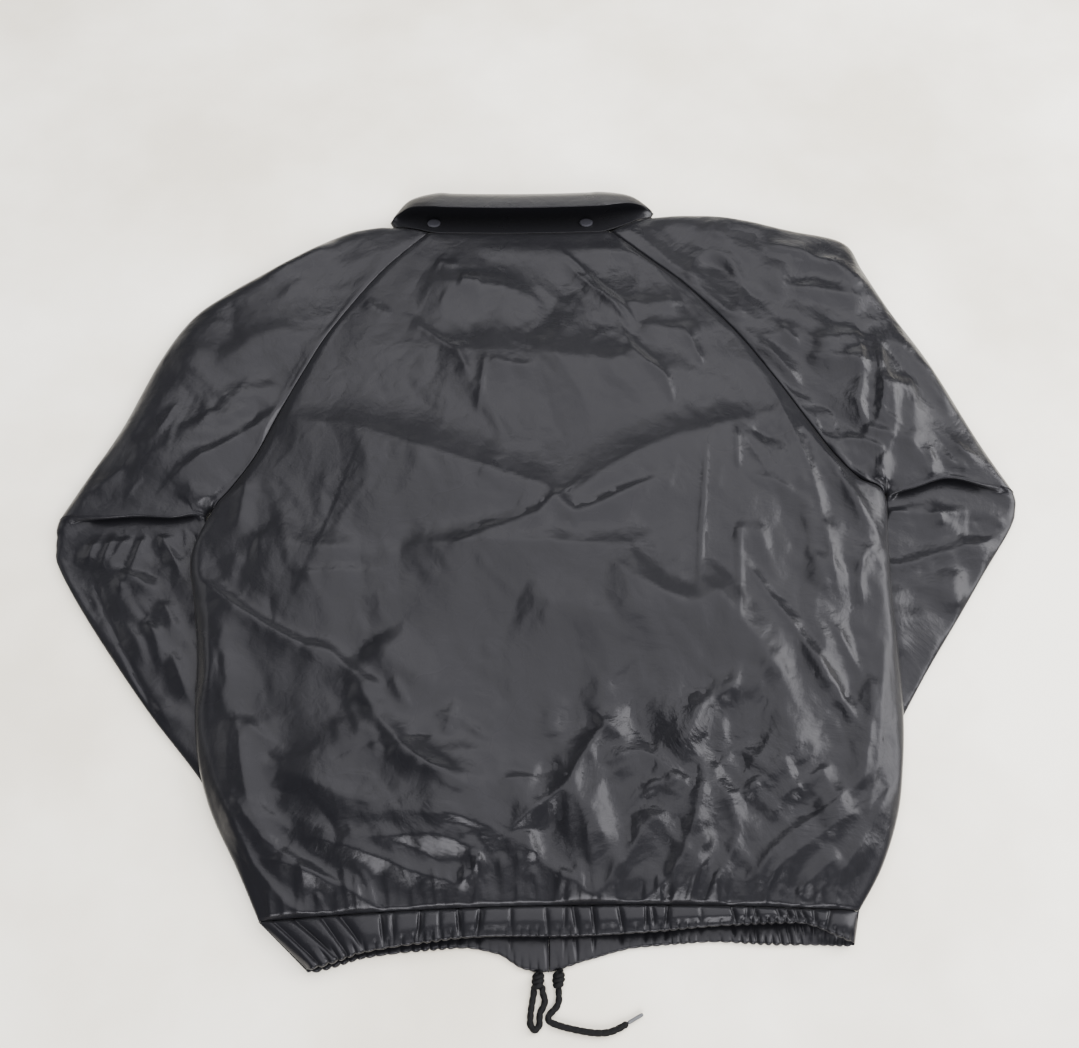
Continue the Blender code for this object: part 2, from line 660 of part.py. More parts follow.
def lip_point(table, t):
    """Point of a casing's free edge at t, evenly spaced along x."""
    x = lerp(table[0][0], table[-1][0], t)
    i = 0
    while i < len(table) - 2 and table[i + 1][0] <= x:
        i += 1
    f = (x - table[i][0]) / (table[i + 1][0] - table[i][0])
    return x, through(table, (i + f) / (len(table) - 1))[1]


def gather(i):
    """Ridge or valley of the gathers, uneven along the hem."""
    return (1 if i % 2 else -1) * (0.75 + 0.25 * math.sin(i * 1.7))


def hem_wall(name, rows, up):
    """Casing wall from rows of (point, thickness, share of the way across the body)."""
    grid = [[p for p, wall, u in line] for line in rows]
    walls = [[wall for p, wall, u in line] for line in rows]
    facing = [[edge_facing(0.0, u, up) for p, wall, u in line] for line in rows]
    cloth_wall(name, grid, walls, facing)


def make_hem_back():
    """Back casing: gathered between its stitch line and its drawn free edge."""
    count = 2 * HEM_BACK_GATHERS
    places = cosine_steps(BACK_COLUMNS)
    stitches = [(*body_place(0.0, u)[:2], back_height(0.0, u)) for u in places]
    rows = []
    for depth in (1.0, 0.7, 0.4, 0.0):
        line = []
        for i in range(count + 1):
            u = i / count
            stitch = on_row(stitches, places, u) - Vector((0, SEAM_GAP, 0))
            lip_x, lip_y = lip_point(HEM_BACK_EDGE, u)
            near = min(u, 1 - u) * HEM_WIDTH
            rounding = quarter_round(near, TOP_ROUND)
            lip_z = lerp(HEM_CORNER + SEAM_GAP / 2, HEM_BACK_LIP, rounding)
            wave = GATHER_HEIGHT * gather(i) * depth * smooth(near / GATHER_FADE)
            puff = CASING_PUFF * math.sin(math.pi * min(depth * 1.25, 1.0)) * smooth(near / GATHER_FADE)
            point = stitch.lerp(Vector((lip_x, lip_y, lip_z)), depth)
            point.z += puff + wave
            line.append((point, lerp(BODY_WALL, HEM_WALL, min(2 * depth, 1)) + wave, u))
        rows.append(line)
    hem_wall("hem_back", rows, 1)


def make_hem_front(right):
    """Front casing: it lies on the floor, with its gathers on the upper side."""
    edge_table = HEM_RIGHT_EDGE if right else HEM_LEFT_EDGE
    count = 2 * HEM_FRONT_GATHERS
    row = body_row(0.0)
    end_x = edge_table[0][0] if right else edge_table[-1][0]
    centre_u = (end_x - row[LEFT_X]) / (row[RIGHT_X] - row[LEFT_X])
    places = front_limits(0.0, right)
    stitches = []
    for u in places:
        rise = lap_rise(body_place(0.0, u)[0]) if right else 0.0
        stitches.append(front_point(0.0, u, rise))
    if right:
        places, stitches = places[::-1], stitches[::-1]
    rows = []
    for depth in (0.0, 0.5, 1.0):
        line = []
        for i in range(count + 1):
            t = i / count
            u = lerp(centre_u, 1.0, t) if right else lerp(0.0, centre_u, t)
            stitch = on_row(stitches, places, u) - Vector((0, SEAM_GAP, 0))
            lip_x, lip_y = lip_point(edge_table, t)
            near = min(u, 1 - u) * HEM_WIDTH
            rounding = quarter_round(near, UNDER_ROUND)
            lip_z = lerp(HEM_CORNER - SEAM_GAP / 2, 0.0, rounding)
            wave = gather(i) * depth * smooth(near / GATHER_FADE)
            point = stitch.lerp(Vector((lip_x, lip_y, lip_z)), depth)
            point.y -= LIP_SCALLOP * wave
            wall = lerp(BODY_WALL, HEM_FRONT_WALL, min(2 * depth, 1.0)) + FRONT_GATHER * wave
            line.append((point, wall, u))
        rows.append(line)
    hem_wall("hem_front_right" if right else "hem_front_left", rows, -1)


def collar_stations():
    """Stations round the collar: plan point, height, splay, fold, reach, clearance and the
    direction of the thickness at the seam. They follow the panels' own neck edges."""
    places = cosine_steps(BACK_COLUMNS)
    back_edge = [(*body_place(NECK_STATION, u)[:2], back_height(NECK_STATION, u)) for u in places]
    up, down = (0, 0, 1), (0, 0, -1)

    def front_stations(right):
        limits = sorted(front_limits(NECK_STATION, right))
        edge = [front_point(NECK_STATION, u, 0.0) for u in limits]
        end = COLLAR_FRONT_ENDS[1 if right else 0]
        kept = [u for u in limits if (u > end if right else u < end)]
        for u in sorted(kept + [end], reverse=True):
            yield (*on_row(edge, limits, u), 0.0, 0.0, 1.0, COLLAR_SEAM, down)

    stations = list(front_stations(False))
    stations += [(*line, COLLAR_END_SEAM, None) for line in COLLAR_LEFT_END]
    for u in (0.04, 0.13, 0.24, 0.37, 0.5, 0.63, 0.76, 0.87, 0.96):
        stations.append((*on_row(back_edge, places, u), 0.0, 1.0, 1.0, COLLAR_SEAM, up))
    stations += [(*line, COLLAR_END_SEAM, None) for line in COLLAR_RIGHT_END]
    stations += front_stations(True)
    return stations


def make_collar():
    grid, facing = [], []
    for x, y, z, splay, folded, reach, seam, at_seam in collar_stations():
        turn = math.radians(splay)
        line = []
        for (run_a, rise_a), (run_b, rise_b) in zip(COLLAR_FLAT, COLLAR_FOLDED):
            run = seam + lerp(run_a, run_b, folded) * reach
            rise = lerp(rise_a, rise_b, folded) * reach
            line.append((x + math.sin(turn) * run, y + math.cos(turn) * run, z + rise))
        grid.append(line[::-1])
        facing.append([None] * (len(line) - 1) + [at_seam])
    cloth_wall("collar", grid, COLLAR_WALL, facing)


def disc(name, x, y, z, radius, height, tilt=0.0):
    """Low round metal cap with a bevelled rim, the middle of its base at the given point."""
    profile = [(0.0, 0.0), (radius * 0.86, 0.0), (radius, height * 0.35),
               (radius, height * 0.7), (radius * 0.8, height), (0.0, height)]
    verts = [Vector((0, 0, 0)), Vector((0, 0, height))]
    rings = []
    for run, rise in profile[1:-1]:
        line = []
        for k in range(SNAP_SIDES):
            angle = 2 * math.pi * k / SNAP_SIDES
            line.append(len(verts))
            verts.append(Vector((run * math.cos(angle), run * math.sin(angle), rise)))
        rings.append(line)
    faces = []
    for k in range(SNAP_SIDES):
        n = (k + 1) % SNAP_SIDES
        faces.append((0, rings[0][n], rings[0][k]))
        for low, high in zip(rings, rings[1:]):
            faces.append((low[k], low[n], high[n], high[k]))
        faces.append((1, rings[-1][k], rings[-1][n]))
    mesh = bpy.data.meshes.new(name)
    turned = Matrix.Rotation(tilt, 3, "X")
    centre = Vector((x, y, z))
    mesh.from_pydata([(turned @ v + centre) * MM for v in verts], [], faces)
    mesh.shade_smooth()
    mesh.set_sharp_from_angle(angle=math.radians(40))
    return place(name, mesh, BLACK_METAL, 0.35, 0.8)


def make_snaps():
    for number, y in enumerate(SNAP_Y, start=1):
        disc(f"snap_{number}", CENTRE_X, y, 0.1, SNAP_RADIUS, SNAP_HEIGHT)
    row = body_row(NECK_STATION)
    (run_a, rise_a), (run_b, rise_b) = COLLAR_FOLDED[:2]
    slope = (rise_b - rise_a) / (run_b - run_a)
    for side, x in zip(("left", "right"), COLLAR_SNAP_X):
        u = (x - row[LEFT_X]) / (row[RIGHT_X] - row[LEFT_X])
        y = body_place(NECK_STATION, u)[1] + COLLAR_SEAM + COLLAR_SNAP_RUN
        z = back_height(NECK_STATION, u) + slope * COLLAR_SNAP_RUN + COLLAR_SNAP_LIFT
        disc(f"collar_snap_{side}", x, y, z, COLLAR_SNAP_RADIUS, COLLAR_SNAP_HEIGHT,
             math.atan(slope))


def cord_tube(name, route, points, colour, diameter=CORD_DIAMETER):
    """Round cord along a smooth curve through its route."""
    curve = bpy.data.curves.new(name, "CURVE")
    curve.dimensions = "3D"
    curve.bevel_depth = diameter / 2 * MM
    curve.bevel_resolution = 2
    curve.use_fill_caps = True
    spline = curve.splines.new("POLY")
    spline.points.add(points - 1)
    for i in range(points):
        x, y, z = through(route, i / (points - 1))
        spline.points[i].co = (x * MM, y * MM, z * MM, 1)
    return place(name, curve, colour, 0.7)


def make_knot(name, x, y):
    """Barrel of wound cord at the casing's end."""
    half = KNOT_LENGTH / 2
    profile = [(-half, 2.6), (-half * 0.7, KNOT_RADIUS), (half * 0.7, KNOT_RADIUS), (half, 2.6)]
    verts = [Vector((x, y - half, KNOT_RADIUS + 0.2)), Vector((x, y + half, KNOT_RADIUS + 0.2))]
    for run, radius in profile:
        for k in range(KNOT_SIDES):
            angle = 2 * math.pi * k / KNOT_SIDES
            verts.append(Vector((x + radius * math.cos(angle), y + run,
                                 KNOT_RADIUS + 0.2 + radius * math.sin(angle))))
    faces = []
    for k in range(KNOT_SIDES):
        n = (k + 1) % KNOT_SIDES
        faces.append((0, 2 + k, 2 + n))
        for ring in range(len(profile) - 1):
            a = 2 + ring * KNOT_SIDES
            b = a + KNOT_SIDES
            faces.append((a + n, a + k, b + k, b + n))
        end = 2 + (len(profile) - 1) * KNOT_SIDES
        faces.append((1, end + n, end + k))
    mesh = bpy.data.meshes.new(name)
    mesh.from_pydata([v * MM for v in verts], [], faces)
    mesh.shade_smooth()
    return place(name, mesh, BLACK_CORD, 0.7)


def make_cords():
    make_knot("knot_left", *KNOT_LEFT)
    make_knot("knot_right", *KNOT_RIGHT)
    cord_tube("drawcord_left", LEFT_CORD, 22, BLACK_CORD)
    cord_tube("drawcord_right", RIGHT_CORD, 24, BLACK_CORD)
    a, b = (Vector(through(RIGHT_CORD, t)) for t in (0.97, 1.0))
    onward = (b - a).normalized()
    start, end = b + onward * SEAM_GAP, b + onward * (SEAM_GAP + TIP_LENGTH)
    cord_tube("aglet", [tuple(start), tuple(end)], 4, GREY_TIP, 2 * TIP_RADIUS)


def build():
    for thing in list(bpy.data.objects):
        bpy.data.objects.remove(thing, do_unlink=True)
    make_back()
    for right in (False, True):
        make_front(right)
        make_sleeve(right)
        make_cuff(right)
        make_hem_front(right)
    make_hem_back()
    make_collar()
    make_snaps()
    make_cords()


build()
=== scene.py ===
import math
import bpy
import numpy as np
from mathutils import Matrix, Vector


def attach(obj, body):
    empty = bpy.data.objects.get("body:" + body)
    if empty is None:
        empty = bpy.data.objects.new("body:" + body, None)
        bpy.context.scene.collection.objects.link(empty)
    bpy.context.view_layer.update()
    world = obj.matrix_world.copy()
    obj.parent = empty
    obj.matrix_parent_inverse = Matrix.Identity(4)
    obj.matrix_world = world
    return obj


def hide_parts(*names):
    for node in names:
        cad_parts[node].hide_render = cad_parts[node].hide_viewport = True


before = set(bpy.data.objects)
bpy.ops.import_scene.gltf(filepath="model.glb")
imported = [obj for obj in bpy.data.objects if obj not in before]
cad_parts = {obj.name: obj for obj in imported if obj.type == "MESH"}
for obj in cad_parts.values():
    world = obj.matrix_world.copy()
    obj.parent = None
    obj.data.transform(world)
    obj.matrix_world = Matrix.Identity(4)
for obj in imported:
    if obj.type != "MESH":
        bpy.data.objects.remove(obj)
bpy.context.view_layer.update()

# Where the photo was taken from: about a metre above the floor and over the hem, looking down at
# the jacket thirty degrees off the vertical, with a normal lens.
MM = 0.001
PAGE_SHIFT = (0.5, 2.95)  # the tables are drawn about the photo's middle, in mm
CAMERA_AWAY = 1.25
CAMERA_TILT = math.radians(30)
AIM_HEIGHT = 0.012
SENSOR_WIDTH = 36
FOCAL_LENGTH = 47.94
camera_data = bpy.data.cameras.new("camera")
camera_data.sensor_width = SENSOR_WIDTH
camera_data.lens = FOCAL_LENGTH
camera = bpy.data.objects.new("camera", camera_data)
camera.location = (PAGE_SHIFT[0] * MM, PAGE_SHIFT[1] * MM - CAMERA_AWAY * math.sin(CAMERA_TILT),
                   AIM_HEIGHT + CAMERA_AWAY * math.cos(CAMERA_TILT))
camera.rotation_euler = (CAMERA_TILT, 0, 0)
bpy.context.scene.collection.objects.link(camera)
bpy.context.scene.camera = camera


def linear(hex_colour):
    """Colour from its six sRGB hex digits, turned linear."""
    parts = [int(hex_colour[i:i + 2], 16) / 255 for i in (0, 2, 4)]
    return tuple(c / 12.92 if c <= 0.04045 else ((c + 0.055) / 1.055) ** 2.4 for c in parts) + (1,)


def node(tree, kind, settings=(), links=()):
    """Adds a shader node, sets its inputs or fields, and links other outputs to its inputs."""
    made = tree.nodes.new(kind)
    for name, value in dict(settings).items():
        if name in made.inputs:
            made.inputs[name].default_value = value
        else:
            setattr(made, name, value)
    for name, output in dict(links).items():
        tree.links.new(output, made.inputs[name])
    return made


def new_material(name, colour, roughness):
    """Adds a material, and gives it with its node tree and its shader."""
    made = bpy.data.materials.new(name)
    made.use_nodes = True
    shader = made.node_tree.nodes["Principled BSDF"]
    shader.inputs["Base Color"].default_value = linear(colour)
    shader.inputs["Roughness"].default_value = roughness
    return made, made.node_tree, shader


# The jacket lies on a smooth, pale concrete floor, poured in one and floated flat, with faint
# cloudy patches. Two soft ceiling lights and a low one on each side light it.
FLOOR_HALF = 6
floor_mesh = bpy.data.meshes.new("floor")
floor_corners = [(x * FLOOR_HALF, y * FLOOR_HALF, 0) for x, y in ((-1, -1), (1, -1), (1, 1), (-1, 1))]
floor_mesh.from_pydata(floor_corners, [], [(0, 1, 2, 3)])
floor = bpy.data.objects.new("floor", floor_mesh)
bpy.context.scene.collection.objects.link(floor)
# Polished concrete: matt and a warm, pale grey, with cloudy patches 300 mm wide that keep it from
# looking like paper, and a grain of 2 mm
concrete, tree, shader = new_material("concrete", "E2DED3", 0.75)
where = node(tree, "ShaderNodeTexCoord").outputs["Object"]
patches = node(tree, "ShaderNodeTexNoise", {"Scale": 3.2, "Detail": 5, "Roughness": 0.55},
               {"Vector": where})
tint = node(tree, "ShaderNodeValToRGB", links={"Fac": patches.outputs["Fac"]})
tint.color_ramp.elements[0].position = 0.36
tint.color_ramp.elements[0].color = linear("D8D1C3")
tint.color_ramp.elements[1].position = 0.62
tint.color_ramp.elements[1].color = linear("F5F1E8")
tree.links.new(tint.outputs["Color"], shader.inputs["Base Color"])
grain = node(tree, "ShaderNodeTexNoise", {"Scale": 420, "Detail": 2}, {"Vector": where})
bump = node(tree, "ShaderNodeBump", {"Strength": 0.08, "Distance": 0.0004},
            {"Height": grain.outputs["Fac"]})
tree.links.new(bump.outputs["Normal"], shader.inputs["Normal"])
floor_mesh.materials.append(concrete)

world = bpy.data.worlds.new("studio")
world.use_nodes = True
world.node_tree.nodes["Background"].inputs["Color"].default_value = linear("E4E9F0")
world.node_tree.nodes["Background"].inputs["Strength"].default_value = 0.24
bpy.context.scene.world = world
LIGHTS = [
    # name, place, target, width, depth, power
    ("ceiling", (0.3, 0.35, 2.3), (0.3, 0.35, 0.0), 2.8, 2.0, 84),
    ("far ceiling", (0.3, 2.0, 2.3), (0.3, 2.0, 0.0), 2.8, 1.3, 74),
    ("right bank", (2.4, 0.8, 1.5), (0.0, 0.0, 0.0), 2.2, 1.8, 190),
    ("left bank", (-2.4, 1.0, 1.2), (0.0, 0.0, 0.0), 1.5, 1.0, 14),
    ("front bank", (0.2, -2.6, 1.7), (0.0, 0.0, 0.0), 2.6, 1.4, 215),
    ("back bank", (0.2, 3.0, 0.6), (0.0, 0.0, 0.0), 2.4, 0.6, 14),
]
for name, at, target, width, depth, power in LIGHTS:
    lamp = bpy.data.lights.new(name, "AREA")
    lamp.shape = "RECTANGLE"
    lamp.size = width
    lamp.size_y = depth
    lamp.energy = power
    lamp.color = linear("FBFAF8")[:3]
    holder = bpy.data.objects.new(name, lamp)
    holder.location = at
    holder.rotation_euler = (Vector(target) - Vector(at)).to_track_quat("-Z", "Y").to_euler()
    bpy.context.scene.collection.objects.link(holder)


def lerp(a, b, t):
    """Between a and b, at the share t of the way."""
    return a + (b - a) * t


def smooth(t):
    """From 0 to 1 with a soft start and end, and level outside."""
    t = np.clip(t, 0.0, 1.0)
    return t * t * (3 - 2 * t)


def read_rows(rows, where):
    """Rows of a table read at fractional places, smooth between its lines."""
    rows = np.array(rows, dtype=float)
    last = len(rows) - 1
    where = np.clip(np.asarray(where, dtype=float), 0, last)
    i = np.minimum(where.astype(int), last - 1)
    f = (where - i)[..., None]
    a, b, c, d = (rows[np.clip(i + k, 0, last)] for k in (-1, 0, 1, 2))
    return b + 0.5 * f * (c - a + f * (2 * a - 5 * b + 4 * c - d + f * (3 * (b - c) + d - a)))


def add_mesh(name, points, faces, finish):
    """Adds a smooth-shaded object from points in mm on the page."""
    mesh = bpy.data.meshes.new(name)
    placed = (np.asarray(points) + (*PAGE_SHIFT, 0)) * MM
    mesh.from_pydata(placed.tolist(), [], faces)
    mesh.validate()
    mesh.shade_smooth()
    mesh.materials.append(finish)
    thing = bpy.data.objects.new(name, mesh)
    bpy.context.scene.collection.objects.link(thing)
    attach(thing, "root")
    return thing


# The drawcord is a round braid of black polyester, about 5 mm thick. It comes out of the hem's
# two front ends, each stopped by a knot of three turns. The left end is doubled back into its
# knot as a loop, and the right end lies free and is closed by a short grey crimped tip.
CORD_RADIUS = 2.6
BRAID_STRANDS = 4
BRAID_PITCH = 5.5  # mm along the cord for one strand to go a quarter round
BRAID_RELIEF = 0.13
CORD_AROUND = 20  # points round the cord
CORD_STEP = 0.7
ROUTE_POINTS = 400
CUT_END = 0.35  # share of the cord's section that its cut end keeps
LEFT_CORD = [
    # x, y, height of the centre line
    (-4.2, -391.8, 4.0), (-4.3, -395.0, 3.5), (-5.0, -399.0, 2.8), (-5.8, -404.0, 2.8),
    (-6.5, -408.5, 2.8), (-6.8, -413.0, 2.8), (-6.6, -417.4, 2.8), (-3.4, -420.8, 2.8),
    (-0.2, -417.4, 2.8), (0.0, -413.0, 2.8), (0.4, -408.6, 2.8), (2.8, -404.4, 2.8),
    (4.0, -399.6, 2.8), (2.5, -395.0, 3.5), (2.2, -391.8, 4.0),
]
RIGHT_CORD = [
    # x, y, height of the centre line
    (14.2, -390.95, 4.0), (14.2, -394.6, 3.5), (14.4, -399.0, 2.8), (13.0, -403.8, 2.8),
    (9.8, -407.4, 2.8), (6.6, -410.8, 2.8), (7.2, -414.6, 2.8), (12.4, -417.0, 2.8),
    (20.0, -419.2, 2.8), (30.5, -421.4, 2.8),
    (41.0, -422.8, 2.8), (50.0, -422.4, 2.8), (58.0, -419.6, 2.8), (64.4, -416.0, 2.8),
]
KNOT_LEFT = (-1.0, -385.65)
KNOT_RIGHT = (14.2, -384.8)
KNOT_RUN = 9.6  # mm from a knot's first turn to its last
KNOT_HEIGHT = 5.1
KNOT_TURNS = 3
KNOT_POINTS = 60
KNOT_SLANT = 1.6
KNOT_WIDE = 2.9
KNOT_DEEP = 2.4
KNOT_NARROWS = 0.7
KNOT_CORD = 2.3
THIN_AROUND = 16
TIP_LENGTH = 13
TIP_RADIUS = 1.45
TIP_GAP = 0.2
# Braided polyester: strands of a duller black than the cloth, with a slight shine where they turn
braid, tree, shader = new_material("braided_cord", "09090B", 0.75)
shader.inputs["Specular IOR Level"].default_value = 0.12


def tube(name, route, finish, radius, around=CORD_AROUND, relief=0.0):
    """Round tube along a route with the crossing strands of a braid as a relief, and its length."""
    route = np.array(route, dtype=float)
    rough = read_rows(route, np.linspace(0, len(route) - 1, ROUTE_POINTS))
    runs = np.concatenate([[0], np.cumsum(np.linalg.norm(np.diff(rough, axis=0), axis=1))])
    count = max(int(runs[-1] / CORD_STEP), 3)
    centre = np.stack([np.interp(np.linspace(0, runs[-1], count), runs, rough[:, k])
                       for k in range(3)], axis=1)
    ahead = np.gradient(centre, axis=0)
    ahead /= np.linalg.norm(ahead, axis=1)[:, None]
    side = np.cross(ahead, (0.0, 0.0, 1.0))
    side /= np.linalg.norm(side, axis=1)[:, None]
    up = np.cross(side, ahead)
    turn = np.linspace(0, 2 * math.pi, around, endpoint=False)
    run = np.linspace(0, runs[-1], count)[:, None]
    phase = 2 * math.pi * run / BRAID_PITCH
    strands = np.maximum(np.cos(BRAID_STRANDS * turn + phase), np.cos(BRAID_STRANDS * turn - phase))
    ends = np.minimum(run, runs[-1] - run)
    swell = radius * (1 + relief * (strands - 1)) * np.sqrt(np.clip(CUT_END + ends / radius, 0, 1))
    ring = (centre[:, None] + swell[..., None] * (np.cos(turn)[:, None] * side[:, None]
                                                  + np.sin(turn)[:, None] * up[:, None]))
    points = ring.reshape(-1, 3).tolist() + [centre[0].tolist(), centre[-1].tolist()]
    faces = []
    for r in range(count - 1):
        for k in range(around):
            n = (k + 1) % around
            a = r * around
            faces.append((a + k, a + around + k, a + around + n, a + n))
    last = (count - 1) * around
    for k in range(around):
        n = (k + 1) % around
        faces.append((len(points) - 2, k, n))
        faces.append((len(points) - 1, last + n, last + k))
    return add_mesh(name, points, faces, finish), runs[-1]


def knot_route(x, y):
    """Slanting turns of cord wound round itself, widest at the knot's middle."""
    turns = np.linspace(0, KNOT_TURNS * 2 * math.pi, KNOT_POINTS)
    run = np.linspace(-0.5, 0.5, KNOT_POINTS) * KNOT_RUN
    slant = KNOT_SLANT * np.cos(turns + 0.7)
    wide = KNOT_WIDE - KNOT_NARROWS * np.abs(np.linspace(-1, 1, KNOT_POINTS))
    return np.stack([x + wide * np.cos(turns), y + run + slant,
                     KNOT_HEIGHT + KNOT_DEEP * np.sin(turns)], axis=1)


# each end runs on into its knot
cord_left, left_length = tube("cord_loop", [(-3.6, -389.4, 4.6), *LEFT_CORD, (1.4, -389.4, 4.6)],
                              braid, CORD_RADIUS, relief=BRAID_RELIEF)
cord_right, right_length = tube("cord_end", [(14.2, -388.6, 4.6), *RIGHT_CORD],
                                braid, CORD_RADIUS, relief=BRAID_RELIEF)
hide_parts("drawcord_left")
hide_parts("drawcord_right")
for name, (x, y), cad in (("cord_knot_left", KNOT_LEFT, "knot_left"),
                          ("cord_knot_right", KNOT_RIGHT, "knot_right")):
    knot = tube(name, knot_route(x, y), braid, KNOT_CORD, THIN_AROUND, BRAID_RELIEF)[0]
    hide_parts(cad)
# Crimped tip: smooth grey film wound tight round the cord's end, whose satin shine sets it off
tip_finish, tree, shader = new_material("crimped_tip", "45464B", 0.35)
before_tip, cord_tip = np.array(RIGHT_CORD[-2]), np.array(RIGHT_CORD[-1])
onward = (cord_tip - before_tip) / np.linalg.norm(cord_tip - before_tip)
tip_route = [cord_tip + onward * run for run in (TIP_GAP, 4.5, 9, TIP_LENGTH + TIP_GAP)]
tip = tube("cord_tip", tip_route, tip_finish, TIP_RADIUS, THIN_AROUND)[0]
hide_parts("aglet")


# The back is one panel of thin black nylon taffeta, cut straight at the hem and slanted along
# the two raglan seams. It lies slack over the fronts: broad soft waves across the shoulders, and
# sharp folds that fan up from the gathered hem.
STATION, LEFT_X, LEFT_Y, RIGHT_X, RIGHT_Y, BOW, CROWN, EDGE = range(8)
BODY_ROWS = [
    # station, left x, left y, right x, right y, bow, crown height, edge height
    (0.00, -211, -344, 241, -336, 7, 17, 10),
    (0.10, -231, -305, 262, -303, 3, 22, 12),
    (0.22, -255, -262, 279, -262, 0, 26, 13),
    (0.33, -270, -222, 288, -222, 0, 27, 13),
    (0.45, -278, -180, 294, -178, 0, 28, 13),
    (0.60, -283, -125, 297, -122, 0, 28, 13),
    (0.75, -291, -78, 298, -72, 0, 28, 13),
    (0.90, -299, -32, 301, -18, 0, 27, 13),
    (1.00, -285, 13, 303, 30, 0, 27, 13),
    (1.12, -270, 36, 283, 44, 0, 27, 15),
    (1.25, -252, 68, 262, 70, 0, 26.5, 17),
    (1.40, -235, 113, 240, 108, 0, 25, 18),
    (1.55, -218, 155, 216, 151, 0, 25, 19),
    (1.70, -196, 204, 183, 205, 0, 24, 19),
    (1.85, -161, 263, 139, 261, -1, 22, 18),
    (1.93, -138, 293, 108, 291, -2, 21, 18),
    (2.00, -109, 326, 70, 328, -3, 19, 17),
]
NECK_STATION = 2.0
ARMPIT_STATION = 1.0  # here the body's side ends and the raglan seam starts
SEAM_OPENS = 1.25  # above this station the raglan seam stands open for the sleeve
SEAM_TURNS = 0.9
BODY_WALL = 1.1
SEAM_GAP = 0.3
TOP_ROUND = 13
UNDER_ROUND = 16
EDGE_SHARE = 0.4
CLOTH = 0.35  # thickness of the taffeta, with its coating
CREASE_REACH = 3.2  # in widths, how far from its line a crease still counts
CREASE_TURN = 0.35  # in widths, how near the line its two sides blend
CREASE_ENDS = 0.3  # share of its length over which a crease rises from its end
CREASE_TIP = 0.1
CREASE_NARROW = 0.55  # share of its width that a crease has at its end
ROW_STATIONS = np.array([row[STATION] for row in BODY_ROWS])
